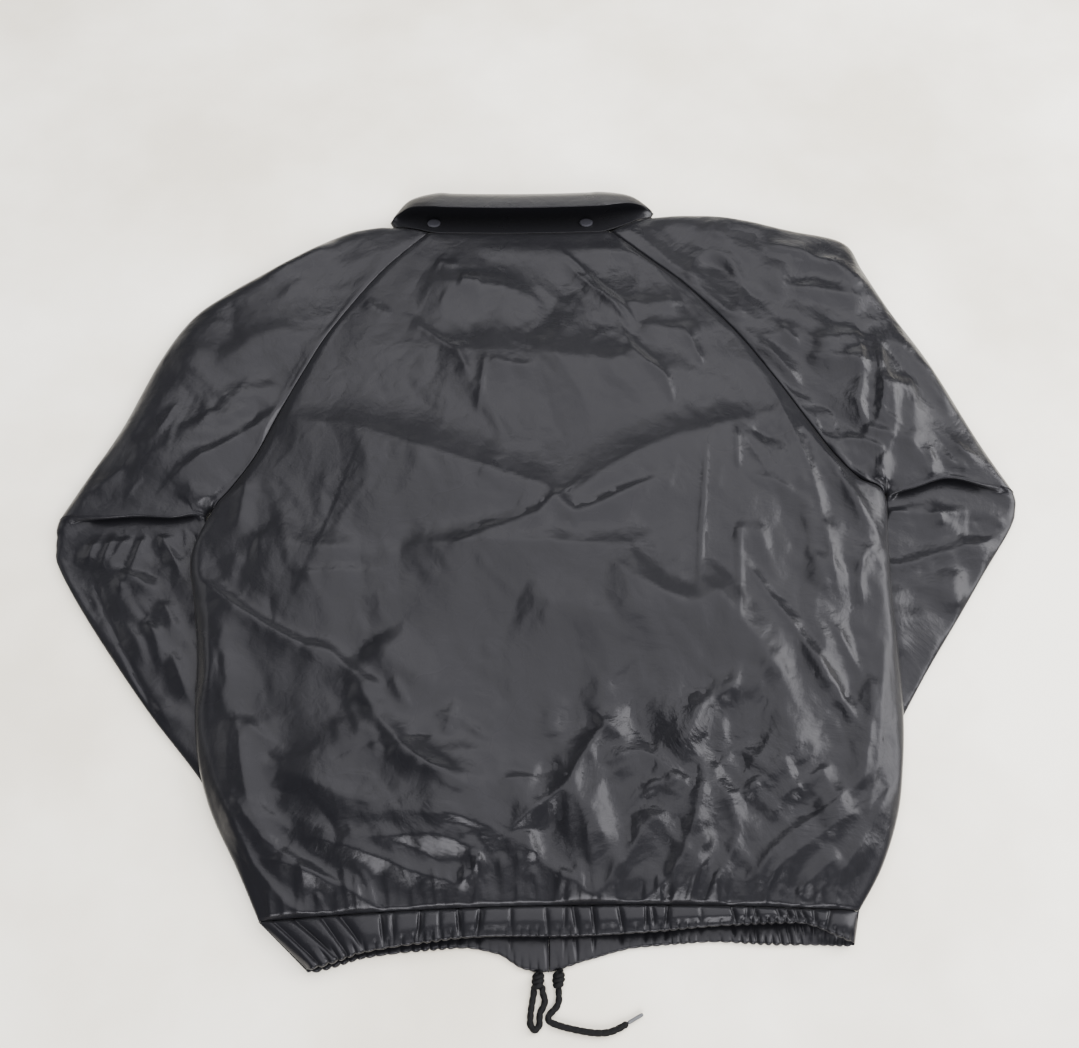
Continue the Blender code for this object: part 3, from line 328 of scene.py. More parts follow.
# Each crease runs along its points. Its height is at the line, and falls off over one width at
# its left and another at its right; a sharpness of 2 is a soft wave, and 1.4 a hard fold.
BACK_CREASES = [
    # height, width at its left and at its right, sharpness, points
    (1.8, 9, 16, 1.8, [(-68, 308), (-19, 304), (30, 305), (71, 310), (92, 296)]),
    (6.5, 27, 60, 1.6, [(-92, 183), (-36, 171), (19, 165), (83, 161), (149, 148)]),
    (4.5, 16, 26, 1.6, [(-114, 268), (-80, 256), (-38, 253), (0, 235)]),
    (8.0, 26, 85, 1.5, [(-232, 101), (-156, 87), (-117, 69), (-52, 45), (-2, 25), (27, 14),
        (64, 43), (113, 73), (162, 92), (211, 107)]),
    (5.9, 17, 46, 1.5, [(-119, -34), (-59, -32), (0, -33), (43, -34), (76, -33), (99, -21)]),
    (3.6, 6, 14, 1.7, [(-72, -32), (-42, -17), (0, -3), (14, 14), (30, -2), (70, 17), (105, 36)]),
    (3.0, 9, 22, 1.8, [(166, -12), (179, -16), (196, -13)]),
    (9.8, 24, 40, 1.5, [(51, -44), (84, -71), (125, -91), (147, -80), (167, -106), (185, -131),
        (198, -153)]),
    (5.2, 24, 42, 1.7, [(-16, -80), (17, -92), (50, -100), (83, -97), (102, -86)]),
    (5.2, 18, 42, 1.6, [(-243, -21), (-217, -29), (-187, -33), (-153, -32)]),
    (2.4, 7, 20, 1.9, [(-209, -57), (-176, -58), (-150, -53)]),
    (4.7, 6, 16, 1.4, [(-286, -59), (-246, -92), (-209, -115), (-177, -134)]),
    (4.4, 7, 16, 1.4, [(-193, -119), (-170, -131), (-141, -155), (-125, -162)]),
    (5.9, 14, 12, 1.4, [(-148, -155), (-130, -184), (-108, -213), (-82, -233), (-54, -247)]),
    (5.9, 26, 24, 1.6, [(-138, -117), (-115, -142), (-83, -162)]),
    (1.8, 3, 6, 1.5, [(-119, -153), (-102, -181)]),
    (1.8, 3, 6, 1.5, [(-66, -172), (-73, -204)]),
    (7.8, 18, 20, 1.4, [(-243, -181), (-234, -221), (-222, -262), (-199, -293)]),
    (3.9, 20, 30, 1.9, [(-271, -80), (-260, -126), (-250, -170)]),
    (10.4, 24, 26, 1.4, [(-203, -228), (-155, -252), (-107, -265), (-61, -271), (-26, -281)]),
    (7.8, 34, 34, 1.5, [(-217, -233), (-173, -214), (-138, -211), (-78, -233), (-15, -246),
        (17, -249)]),
    (4.5, 7, 10, 1.4, [(-214, -299), (-181, -307), (-143, -323), (-125, -335)]),
    (4.5, 9, 10, 1.4, [(-184, -282), (-144, -293), (-100, -308), (-58, -319), (-51, -321)]),
    (3.9, 6, 6, 1.4, [(-58, -319), (-50, -307), (-43, -297)]),
    (3.9, 7, 12, 1.5, [(-239, -250), (-212, -284), (-176, -307), (-149, -326)]),
    (3.0, 5, 9, 1.5, [(-247, -246), (-219, -301), (-186, -335), (-164, -350)]),
    (3.6, 8, 14, 1.6, [(-184, -270), (-160, -282), (-122, -285), (-84, -284), (-44, -295)]),
    (5.9, 8, 9, 1.3, [(53, -194), (40, -211), (28, -229), (17, -247), (-4, -263), (-25, -282)]),
    (4.5, 8, 14, 1.5, [(-25, -282), (-9, -293), (9, -307), (30, -321), (45, -335)]),
    (3.9, 7, 10, 1.4, [(-9, -279), (-6, -293), (-1, -299)]),
    (3.0, 4, 6, 1.4, [(42, -182), (53, -192), (65, -204)]),
    (4.5, 12, 16, 1.6, [(17, -247), (39, -263), (46, -282), (62, -307)]),
    (5.2, 10, 14, 1.5, [(40, -333), (53, -315), (65, -301), (77, -281), (86, -270), (104, -263)]),
    (4.5, 9, 12, 1.5, [(51, -225), (79, -214), (95, -225), (110, -237)]),
    (6.5, 10, 12, 1.4, [(111, -221), (119, -200), (126, -181), (142, -168), (156, -160), (164, -139)]),
    (5.9, 8, 10, 1.4, [(80, -330), (94, -316), (106, -303), (116, -279), (124, -254), (128, -234),
        (122, -214)]),
    (4.5, 7, 9, 1.4, [(99, -331), (114, -310), (122, -293), (132, -282)]),
    (5.2, 8, 10, 1.4, [(128, -330), (138, -309), (152, -284), (151, -268), (143, -254)]),
    (3.9, 8, 10, 1.5, [(78, -246), (103, -239), (119, -244)]),
    (5.2, 9, 12, 1.5, [(169, -319), (182, -306), (196, -294), (218, -279), (240, -265), (264, -250)]),
    (4.5, 8, 10, 1.5, [(158, -325), (169, -303), (191, -282), (224, -259), (260, -229)]),
    (5.2, 9, 10, 1.5, [(220, -322), (234, -303), (250, -281), (263, -260), (274, -242)]),
    (3.9, 8, 9, 1.5, [(195, -325), (214, -307), (230, -295)]),
    (4.5, 12, 14, 1.6, [(157, -206), (167, -221), (182, -229), (198, -209), (208, -184)]),
    (3.9, 10, 14, 1.7, [(165, -170), (186, -142), (196, -162), (194, -196)]),
    (3.9, 8, 9, 1.5, [(177, -270), (190, -250), (211, -237), (232, -223)]),
    (3.9, 8, 9, 1.5, [(141, -254), (160, -246), (175, -234)]),
    (3.6, 5, 7, 1.4, [(172, -39), (189, -71), (209, -103), (223, -128), (236, -152), (256, -194)]),
    (2.4, 4, 6, 1.4, [(244, -103), (253, -124), (262, -147)]),
    (3.0, 5, 6, 1.4, [(215, -117), (224, -139), (240, -170), (252, -191)]),
    (3.6, 6, 12, 1.6, [(267, -126), (268, -162), (260, -204), (249, -246)]),
    (3.9, 8, 9, 1.5, [(283, -117), (275, -170), (266, -221), (253, -263)]),
    (4.4, 9, 7, 1.4, [(213, 135), (224, 100), (238, 50), (245, -4), (251, -70)]),
    (4.7, 8, 8, 1.4, [(237, 107), (251, 77), (264, 48), (278, 13), (293, -24)]),
    (3.9, 7, 10, 1.5, [(249, 74), (265, 36), (278, -3), (284, -28)]),
    (3.9, 6, 9, 1.5, [(294, -25), (279, -34), (271, -52), (270, -84)]),
    (3.0, 10, 12, 1.7, [(214, 101), (229, 48), (233, -23), (241, -80)]),
    (2.7, 4, 7, 1.4, [(19, 300), (40, 279), (62, 250), (78, 232), (90, 211)]),
    (2.4, 4, 6, 1.4, [(25, 284), (48, 258), (70, 234), (85, 207)]),
    (2.4, 4, 7, 1.4, [(73, 213), (87, 177), (106, 156), (116, 144), (121, 115)]),
    (2.1, 4, 6, 1.4, [(136, 203), (144, 181), (150, 163)]),
    (2.1, 4, 6, 1.4, [(-80, 187), (-70, 165), (-64, 144)]),
    (1.8, 3, 5, 1.4, [(-49, 170), (-52, 139), (-55, 110)]),
    (2.1, 4, 7, 1.4, [(-120, 214), (-100, 197), (-80, 178)]),
    (1.8, 3, 6, 1.4, [(-165, 239), (-152, 230), (-140, 221)]),
    (2.1, 5, 9, 1.6, [(-100, 289), (-88, 284), (-78, 283)]),
    (2.4, 6, 9, 1.6, [(-77, 265), (-65, 262), (-55, 262)]),
    (3.6, 12, 22, 1.8, [(76, 238), (104, 232), (137, 238)]),
    (3.0, 9, 18, 1.8, [(94, 211), (124, 202), (150, 207)]),
    (1.8, 3, 3, 1.6, [(148, 76), (142, 17), (136, -42), (133, -71)]),
    (1.8, 3, 3, 1.6, [(175, 91), (175, 69), (174, 47)]),
    (1.8, 3, 3, 1.6, [(170, -12), (169, -52), (165, -100)]),
    (2.1, 5, 8, 1.5, [(30, 300), (59, 303), (89, 299), (108, 284), (122, 257)]),
    (3.3, 9, 9, 1.7, [(-257, 45), (-258, 17), (-260, -17)]),
    (2.1, 5, 9, 1.6, [(-46, 165), (-25, 157), (-5, 158)]),
]
# Small creases strewn over a few regions
CRUMPLE = [
    # centre x, y, spread x, y, how many, direction and its spread in degrees, length, height
    (-10, 190, 110, 80, 46, 100, 60, 26, 0.55),
    (-160, -60, 90, 120, 40, -35, 40, 32, 0.6),
    (40, -60, 120, 110, 46, 90, 50, 30, 0.6),
    (-120, -240, 110, 60, 56, -20, 45, 34, 1.2),
    (110, -210, 110, 70, 90, 70, 45, 34, 1.5),
    (240, -120, 40, 140, 50, 95, 25, 46, 1.1),
    (230, 60, 40, 60, 26, -55, 30, 34, 1.0),
    (-250, -120, 30, 130, 34, -75, 25, 40, 1.0),
]


def body_plan(station, share):
    """Plan x and y, the distance in from the nearer side, the width, the crown's and edge's heights."""
    where = np.interp(station, ROW_STATIONS, np.arange(len(BODY_ROWS)))
    row = read_rows(BODY_ROWS, where)
    x = lerp(row[..., LEFT_X], row[..., RIGHT_X], share)
    y = lerp(row[..., LEFT_Y], row[..., RIGHT_Y], share) + row[..., BOW] * 4 * share * (1 - share)
    width = row[..., RIGHT_X] - row[..., LEFT_X]
    return x, y, np.minimum(share, 1 - share) * width, width, row[..., CROWN], row[..., EDGE]


def quarter_round(distance, radius):
    """From 0 at an edge to 1 at one radius from it, as a quarter circle rises."""
    t = np.clip(distance / radius, 0.0, 1.0)
    return np.sqrt(1 - (1 - t) ** 2)


def parting(station):
    """How far the back's outside lies above the line where it meets a front or a sleeve."""
    tilt = math.pi / 2 * smooth((station - SEAM_TURNS) / (ARMPIT_STATION - SEAM_TURNS))
    return SEAM_GAP / 2 + (BODY_WALL + SEAM_GAP / 2) * np.sin(tilt)


def crease_height(x, y, creases):
    """Height that the creases add at each point of the page."""
    total = np.zeros_like(x)
    for height, left, right, sharpness, points in creases:
        reach = CREASE_REACH * max(left, right)
        line = read_rows(points, np.linspace(0, len(points) - 1, 2 * len(points) - 1))
        low, high = line.min(axis=0) - reach, line.max(axis=0) + reach
        near = (x > low[0]) & (x < high[0]) & (y > low[1]) & (y < high[1])
        px, py = x[near], y[near]
        if not len(px):
            continue
        spans = np.diff(line, axis=0)
        lengths = np.linalg.norm(spans, axis=1)
        starts = np.concatenate([[0], np.cumsum(lengths)])
        best = np.full(px.shape, np.inf)
        side, run = np.zeros_like(px), np.zeros_like(px)
        for (ax, ay), (dx, dy), length, start in zip(line, spans, lengths, starts):
            t = np.clip(((px - ax) * dx + (py - ay) * dy) / length ** 2, 0, 1)
            away_x, away_y = px - ax - t * dx, py - ay - t * dy
            away = np.hypot(away_x, away_y)
            closer = away < best
            best = np.where(closer, away, best)
            side = np.where(closer, (dx * away_y - dy * away_x) / length, side)
            run = np.where(closer, start + t * length, run)
        on_left = smooth(side / (CREASE_TURN * min(left, right)) * 0.5 + 0.5)
        gone = run / starts[-1]
        taper = np.sqrt(smooth(gone / CREASE_ENDS + CREASE_TIP)
                        * smooth((1 - gone) / CREASE_ENDS + CREASE_TIP))
        width = lerp(right, left, on_left) * lerp(CREASE_NARROW, 1, taper)
        total[near] += height * taper * np.exp(-(best / width) ** sharpness)
    return total


SMALL_SHARPNESS = 1.5


def scattered(groups, seed):
    """Small creases strewn over a few regions, each of its own length, way and height."""
    chance = np.random.default_rng(seed)
    made = []
    for cx, cy, spread_x, spread_y, count, way, way_spread, length, height in groups:
        for _ in range(count):
            x, y = cx + spread_x * chance.uniform(-1, 1), cy + spread_y * chance.uniform(-1, 1)
            angle = math.radians(way + way_spread * chance.uniform(-1, 1))
            half = length * chance.uniform(0.25, 0.8)
            bend = half * chance.uniform(-0.3, 0.3)
            dx, dy = math.cos(angle), math.sin(angle)
            points = [(x - dx * half, y - dy * half), (x - dy * bend, y + dx * bend),
                      (x + dx * half, y + dy * half)]
            wide = length * chance.uniform(0.08, 0.2)
            rise = height * chance.uniform(-1, 1)
            made.append((rise, wide, wide * chance.uniform(0.7, 2.2), SMALL_SHARPNESS, points))
    return made


# Crisp cloth crumples into flat facets between short ridges. Each row is one layer of them.
RUMPLE = [
    # height, width, length, turn from the crumple's own way, seed
    (4.4, 29, 54, 0.0, 3),
    (1.3, 13, 24, 0.5, 8),
    (0.4, 8, 9, -0.7, 5),
]
FACETS = 95  # how many there are each way before they repeat
FIRST_FACET = (40.3, 40.7)


def facets(x, y, wide, long, turn, seed):
    """Heights from -1 to 1 in flat three-cornered facets whose edges wander a few millimetres."""
    corners = np.random.default_rng(seed).uniform(-1, 1, (FACETS + 1, FACETS + 1))
    bent_x = x + 9 * np.sin(y / 37 + seed) + 4 * np.sin(y / 13 + x / 29)
    bent_y = y + 11 * np.sin(x / 41 + seed) + 5 * np.sin(x / 17 - y / 23)
    u = (bent_x * math.cos(turn) + bent_y * math.sin(turn)) / wide + FIRST_FACET[0]
    v = (bent_y * math.cos(turn) - bent_x * math.sin(turn)) / long + FIRST_FACET[1]
    i, j = u.astype(int) % FACETS, v.astype(int) % FACETS
    u, v = u - np.floor(u), v - np.floor(v)
    a, b, c, d = corners[i, j], corners[i + 1, j], corners[i, j + 1], corners[i + 1, j + 1]
    near_half = a + (b - a) * u + (c - a) * v
    far_half = d + (c - d) * (1 - u) + (b - d) * (1 - v)
    return np.where(u + v < 1, near_half, far_half)


def rumple(x, y, turn):
    """Crumpled relief in mm, as it is where the cloth is crumpled most."""
    return sum(height * facets(x, y, wide, long, turn + more, seed)
               for height, wide, long, more, seed in RUMPLE)


GATHERS_FROM = 0.02  # share of the hem at each end that has no gathers


def fanned_gathers(seed):
    """Folds that run up from the stitched hem, close together and of uneven length."""
    chance = np.random.default_rng(seed)
    made = []
    share = GATHERS_FROM
    while share < 1 - GATHERS_FROM:
        x, y = (float(v) for v in body_plan(np.array(0.0), np.array(share))[:2])
        lean = (share - 0.5) * 0.9 + chance.uniform(-0.35, 0.35)
        reach = chance.uniform(14, 40) * (1.7 if chance.uniform() < 0.25 else 1.0)
        wide = chance.uniform(2.2, 4.5)
        made.append((chance.uniform(0.8, 2.2), wide, wide * chance.uniform(0.8, 1.5), SMALL_SHARPNESS,
                     [(x, y - 3), (x + 0.35 * lean * reach, y + 0.5 * reach),
                      (x + lean * reach, y + reach)]))
        share += chance.uniform(0.010, 0.026)
    return made


def rim(outer, inner, step):
    """Faces between two edges, the inner one with a point for each step of the outer one."""
    faces = []
    for k in range(len(inner) - 1):
        first, half = k * step, k * step + step // 2
        faces += [(outer[i + 1], outer[i], inner[k]) for i in range(first, half)]
        faces.append((outer[half], inner[k], inner[k + 1]))
        faces += [(outer[i + 1], outer[i], inner[k + 1]) for i in range(half, first + step)]
    return faces


def sheet_shell(name, grid, finish, wrap=False, thick=CLOTH, step=1, crumple=0.3):
    """Thin closed shell of cloth on a grid of outer points, its columns running left to right and
    its rows upwards as seen from outside. Its inside has a point for each step of the outside's."""
    grid = np.asarray(grid, dtype=float)
    rows, columns = grid.shape[:2]
    if wrap:
        along = np.roll(grid, -1, axis=1) - np.roll(grid, 1, axis=1)
    else:
        along = np.gradient(grid, axis=1)
    normals = np.cross(along, np.gradient(grid, axis=0))
    normals /= np.maximum(np.linalg.norm(normals, axis=2), 1e-9)[..., None]
    inside = (grid - normals * thick)[::step, ::step]
    points = np.concatenate([grid.reshape(-1, 3), inside.reshape(-1, 3)])
    outer = np.arange(rows * columns).reshape(rows, columns)
    inner = np.arange(inside.shape[0] * inside.shape[1]).reshape(inside.shape[:2]) + outer.size
    faces = []
    for index, flip in ((outer, 1), (inner, -1)):
        closed = np.concatenate([index, index[:, :1]], axis=1) if wrap else index
        corners = [closed[:-1, :-1], closed[:-1, 1:], closed[1:, 1:], closed[1:, :-1]]
        faces += np.stack(corners[::flip], axis=-1).reshape(-1, 4).tolist()
    ends = [(outer[0], inner[0]), (outer[-1, ::-1], inner[-1, ::-1])]
    if wrap:
        ends = [(np.append(a, a[0]), np.append(b, b[0])) for a, b in ends]
    else:
        ends += [(outer[::-1, 0], inner[::-1, 0]), (outer[:, -1], inner[:, -1])]
    for a, b in ends:
        faces += rim(a.tolist(), b.tolist(), step)
    thing = add_mesh(name, points, faces, finish)
    amount = np.broadcast_to(crumple, (rows, columns))
    amount = np.concatenate([amount.ravel(), np.zeros(inner.size)])
    thing.data.attributes.new("crumple", "FLOAT", "POINT").data.foreach_set("value", amount)
    return thing


# Nylon taffeta: black, tightly woven and lightly coated. Its broad satin sheen is slightly blue,
# so folds that face the light turn grey, and those that face away stay black.
cloth, tree, shader = new_material("black_taffeta", "121215", 0.28)
shader.inputs["Specular IOR Level"].default_value = 0.17
shader.inputs["Specular Tint"].default_value = linear("F3F2FA")
shader.inputs["Sheen Weight"].default_value = 0.02
shader.inputs["Sheen Roughness"].default_value = 0.45
where = node(tree, "ShaderNodeTexCoord").outputs["Object"]
# threads 0.7 mm apart both ways, slightly uneven
weave = node(tree, "ShaderNodeMath", {"operation": "ADD"})
for place, way in enumerate("XY"):
    threads = node(tree, "ShaderNodeTexWave", {"Scale": 450, "Distortion": 0.6, "Detail": 1,
                                               "bands_direction": way}, {"Vector": where})
    tree.links.new(threads.outputs["Fac"], weave.inputs[place])
woven = node(tree, "ShaderNodeBump", {"Strength": 0.25, "Distance": 0.00005},
             {"Height": weave.outputs["Value"]})
# crinkles about 14 mm apart, with finer ones in them
crinkle = node(tree, "ShaderNodeTexNoise", {"Scale": 70, "Detail": 4, "Roughness": 0.5,
                                            "Distortion": 0.6}, {"Vector": where})
crinkled = node(tree, "ShaderNodeBump", {"Strength": 0.35, "Distance": 0.0012},
                {"Height": crinkle.outputs["Fac"], "Normal": woven.outputs["Normal"]})
# dents about 70 mm apart, with finer ones in them, where the cloth is crumpled
dents = node(tree, "ShaderNodeTexNoise", {"Scale": 14, "Detail": 5, "Roughness": 0.55,
                                          "Distortion": 0.6}, {"Vector": where})
amount = node(tree, "ShaderNodeAttribute", {"attribute_name": "crumple"})
dented = node(tree, "ShaderNodeMath", {"operation": "MULTIPLY"})
tree.links.new(dents.outputs["Fac"], dented.inputs[0])
tree.links.new(amount.outputs["Fac"], dented.inputs[1])
relief = node(tree, "ShaderNodeBump", {"Strength": 1.0, "Distance": 0.004},
              {"Height": dented.outputs["Value"], "Normal": crinkled.outputs["Normal"]})
tree.links.new(relief.outputs["Normal"], shader.inputs["Normal"])
# worn patches about 110 mm wide, less shiny than the rest
wear = node(tree, "ShaderNodeTexNoise", {"Scale": 9, "Detail": 3}, {"Vector": where})
dulled = node(tree, "ShaderNodeMapRange", {"From Min": 0.3, "From Max": 0.7, "To Min": 0.24,
                                           "To Max": 0.34}, {"Value": wear.outputs["Fac"]})
tree.links.new(dulled.outputs["Result"], shader.inputs["Roughness"])

BACK_COLUMNS = 289
BACK_LINES = 289
LOW_LINES = 100  # of these, the ones in the gathered part above the hem
LOW_STATION = 0.4
EVEN_COLUMNS = 0.65  # 1 spaces the columns evenly, 0 packs them at the two sides
BACK_STEP = 3
SIDES_OPEN = 1.8  # below this station the sides start to round down towards the fronts
SIDES_CLOSE = 1.1  # how many stations that takes
BACK_SEED = 4
GATHERS_SEED = 9
CREASES_IN = (10, 13)  # mm from a raglan seam and from a side at which creases have full height
CREASES_HEM = 0.01  # the same from the hem, and below it from the neck, in stations
CREASES_NECK = 0.07
SIDE_ROLL = 0.8  # how far the cloth dips to the raglan seam's stitches
SIDE_ROLL_FROM = 0.2
STATION_LENGTH = 390  # mm of cloth from one station to the next near the hem
HEM_ROLL = 1.4  # how far the cloth dips to the hem's stitches
CRUMPLED_LEAST = 0.22
CRUMPLED_MOST = 1.1
CRUMPLED_WAY = -0.35
CRUMPLED_IN = 8
CRUMPLED_HEM = 0.02
CRUMPLED = [
    # centre x, y, radius x, y, how much more crumpled
    (120, -240, 120, 80, 1.15), (-140, -290, 110, 40, 0.5), (240, -60, 50, 160, 0.6),
    (60, 240, 90, 60, 0.5), (-20, 130, 120, 60, 0.25), (-200, -20, 90, 60, 0.25),
    (90, -50, 110, 50, 0.3),
]


def back_surface(station, share):
    """Outer points of the back, without its creases, and how far its creases are let in."""
    x, y, inward, width, crown, edge = body_plan(station, share)
    closing = smooth((SIDES_OPEN - station) / SIDES_CLOSE)
    doming = np.sin(math.pi * inward / width)
    rounding = quarter_round(inward, TOP_ROUND)
    rise = lerp(doming, EDGE_SHARE * rounding + (1 - EDGE_SHARE) * doming, closing)
    z = lerp(edge + parting(station), crown, rise)
    let_in = smooth(inward / lerp(*CREASES_IN, closing)) * smooth(station / CREASES_HEM)
    return x, y, z, let_in * smooth((NECK_STATION - station) / CREASES_NECK)


SEAM_ROLL_WIDTH = 2.5


def seam_roll(distance, depth):
    """How far cloth rolls down to a seam this far away."""
    return depth * np.exp(-(distance / SEAM_ROLL_WIDTH) ** 2)


def packed_at_ends(count):
    """Shares from 0 to 1 that lie closer together at both ends."""
    return 0.5 - 0.5 * np.cos(math.pi * np.linspace(0, 1, count))


stations = np.concatenate([np.linspace(0, LOW_STATION, LOW_LINES)[:-1],
                           np.linspace(LOW_STATION, NECK_STATION, BACK_LINES - LOW_LINES + 1)])
shares = lerp(packed_at_ends(BACK_COLUMNS), np.linspace(0, 1, BACK_COLUMNS), EVEN_COLUMNS)
station, share = np.meshgrid(stations, shares, indexing="ij")
x, y, z, let_in = back_surface(station, share)
inward = body_plan(station, share)[2]
z += let_in * crease_height(x, y, BACK_CREASES + scattered(CRUMPLE, BACK_SEED)
                              + fanned_gathers(GATHERS_SEED))
z -= seam_roll(inward, SIDE_ROLL) * smooth((station - ARMPIT_STATION) / SIDE_ROLL_FROM)
z -= seam_roll(station * STATION_LENGTH, HEM_ROLL)
crumple = np.full_like(x, CRUMPLED_LEAST)
for at_x, at_y, wide, high, more in CRUMPLED:
    crumple += more * np.exp(-((x - at_x) / wide) ** 2 - ((y - at_y) / high) ** 2)
crumple *= smooth(inward / CRUMPLED_IN)
height = np.minimum(crumple, CRUMPLED_MOST) * rumple(x, y, CRUMPLED_WAY)
z += let_in * height * smooth(station / CRUMPLED_HEM)
back = sheet_shell("back_panel", np.stack([x, y, z], axis=-1), cloth, step=BACK_STEP, crumple=crumple)
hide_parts("back")


# The two fronts are cut like the back, but scooped at the neck. They lie flat on the floor with
# their outsides down, the left one lapped over the right along the snapped placket, and are
# pushed up where the forearms are tucked beneath them.
FOREARMS = [
    # inner edge at the elbow x, y, inner edge at the cuff's end x, y, side
    (-284, -5, -116, -264, -1),
    (294, 15, 118, -252, 1),
]
FOREARM_ROOM = 9.5
FOREARM_MARGIN = 30
FOREARM_CLEAR = 8
CENTRE_X = -3
PLACKET_HALF = 18
PLACKET_FLAT = 38
PLACKET_RAISE = 2.4
PLACKET_FADE = 22
LAP_RISE = 1.8
FRONT_NECK_DROP = 30
FRONT_NECK_FROM = 1.6  # station from which the neck is scooped
HEM_DIP = 14
HEM_DIP_WIDTH = 32
HEM_DIP_TO = 0.12
FLOOR_CLEARANCE = 0.2
FRONT_CREASES_IN = 20
FRONT_CREASES_HEM = 0.1
FRONT_LINES = 110
FRONT_COLUMNS = 60
FRONT_CREASES = [
    (1.4, 10, 22, 2, [(-110, 150), (-60, 120), (-35, 95)]),
    (1.4, 10, 22, 2, [(30, 60), (90, 90), (150, 130)]),
    (1.2, 12, 18, 2, [(-190, 60), (-130, 40), (-70, 45)]),
    (1.4, 8, 16, 1.7, [(40, -200), (70, -260), (80, -320)]),
    (1.4, 8, 16, 1.7, [(-50, -210), (-80, -270), (-90, -325)]),
    (1.2, 10, 20, 1.8, [(60, -20), (120, 10), (200, 30)]),
]


def forearm_lift(x, y):
    """Room that the fronts leave for the forearms beneath them."""
    lift = np.zeros_like(x)
    for x0, y0, x1, y1, side in FOREARMS:
        length = math.hypot(x1 - x0, y1 - y0)
        ux, uy = (x1 - x0) / length, (y1 - y0) / length
        inside = side * ((x - x0) * -uy + (y - y0) * ux)
        before_end = length - ((x - x0) * ux + (y - y0) * uy)
        share = smooth((inside + FOREARM_CLEAR) / FOREARM_MARGIN + 1)
        share = share * smooth((before_end + FOREARM_CLEAR) / FOREARM_MARGIN + 1)
        lift = np.maximum(lift, FOREARM_ROOM * share)
    return lift


def front_surface(station, share):
    """Underside of the fronts without its creases, and the distance in from the nearer side."""
    x, y, inward, width, crown, edge = body_plan(station, share)
    raised = PLACKET_RAISE * (1 - smooth((abs(x - CENTRE_X) - PLACKET_FLAT) / PLACKET_FADE))
    base = forearm_lift(x, y) + raised
    closing = smooth((SEAM_OPENS - station) / (SEAM_OPENS - ARMPIT_STATION))
    closing = closing * (1 - quarter_round(inward, UNDER_ROUND))
    z = lerp(base, edge - parting(station), closing)
    scooped = smooth((station - FRONT_NECK_FROM) / (NECK_STATION - FRONT_NECK_FROM))
    neck = FRONT_NECK_DROP * scooped * smooth(2 * np.minimum(share, 1 - share))
    dipped = 1 - smooth(station / HEM_DIP_TO)
    hem = HEM_DIP * dipped * np.exp(-((x - CENTRE_X) / HEM_DIP_WIDTH) ** 2)
    return x, y - neck - hem, z, inward


def lap_rise(x):
    """How far the right front lies above the left one where the placket is lapped."""
    return LAP_RISE * (1 - smooth((x - CENTRE_X - PLACKET_FLAT) / PLACKET_FADE))


def centre_share(station, x):
    """Share across the body at which a station reaches this x."""
    rows = read_rows(BODY_ROWS, np.interp(station, ROW_STATIONS, np.arange(len(BODY_ROWS))))
    return (x - rows[..., LEFT_X]) / (rows[..., RIGHT_X] - rows[..., LEFT_X])


for right, name in ((False, "left"), (True, "right")):
    stations = np.linspace(0, NECK_STATION, FRONT_LINES)
    reach = CENTRE_X - PLACKET_HALF if right else CENTRE_X + PLACKET_HALF
    station = np.repeat(stations[:, None], FRONT_COLUMNS, axis=1)
    share = lerp(float(right), centre_share(stations, reach)[:, None], packed_at_ends(FRONT_COLUMNS))
    x, y, z, inward = front_surface(station, share)
    folds = smooth(inward / FRONT_CREASES_IN) * smooth(station / FRONT_CREASES_HEM)
    z += np.abs(crease_height(x, y, FRONT_CREASES)) * folds + FLOOR_CLEARANCE
    z += lap_rise(x) if right else 0
    grid = np.stack([x, y, z], axis=-1)
    panel = sheet_shell("front_panel_" + name, grid if right else grid[:, ::-1], cloth)
    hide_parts("front_" + name)


# Each raglan sleeve is one tube of the same taffeta, from the neck to a gathered cuff. The upper
# arm lies out at the side. At the elbow it is folded under in a tuck, and the forearm runs back
# beneath the body, so that only its outer half shows.
OUTER_X, OUTER_Y, INNER_X, INNER_Y, BEND, TOP, SHIFT = range(7)
SLEEVE_LEFT = [
    # outer x, outer y, inner x, inner y, raglan bend, top height, shift of the top layer
    (-163, 338, -286.6, 14.8, 0.93, 18.0, 0),
    (-190, 332, -287.2, 14.8, 0.85, 19.0, 0),
    (-225, 312, -287.8, 14.7, 0.72, 20.0, 0),
    (-268, 281, -288.4, 14.5, 0.58, 21.0, 0),
    (-305, 252, -289.0, 14.2, 0.45, 21.5, 0),
    (-331, 225, -289.5, 13.9, 0.32, 22.0, 0),
    (-354, 178, -290.0, 13.5, 0.20, 22.0, 0),
    (-379, 101, -290.5, 12.9, 0.10, 21.0, 0),
    (-402, 48, -290.9, 12.2, 0.04, 19.5, 0),
    (-418, 10, -291.3, 11.0, 0.0, 18.6, -2),
    (-420, 5, -291.5, 9.6, 0.0, 17.2, -6),
    (-421, 0, -291.4, 8.0, 0.0, 13.8, -1),
    (-421, -5, -291.0, 6.2, 0.0, 12.4, 18),
    (-420, -10, -290.2, 4.0, 0.0, 10.6, 23),
    (-420, -15, -288.8, 1.4, 0.0, 9.3, 21),
    (-419, -21, -286.6, -2.0, 0.0, 8.8, 0),
    (-415, -37, -281.0, -13.0, 0.0, 8.3, 0),
    (-390, -77, -266.0, -36.0, 0.0, 8.2, 0),
    (-353, -128, -246.0, -66.0, 0.0, 8.2, 0),
    (-315, -177, -213.0, -114.0, 0.0, 8.2, 0),
    (-270, -230, -176.0, -170.0, 0.0, 8.2, 0),
    (-246, -268, -159.0, -212.0, 0.0, 8.2, 0),
    (-234, -287, -154.0, -234.0, 0.0, 8.2, 0),
]
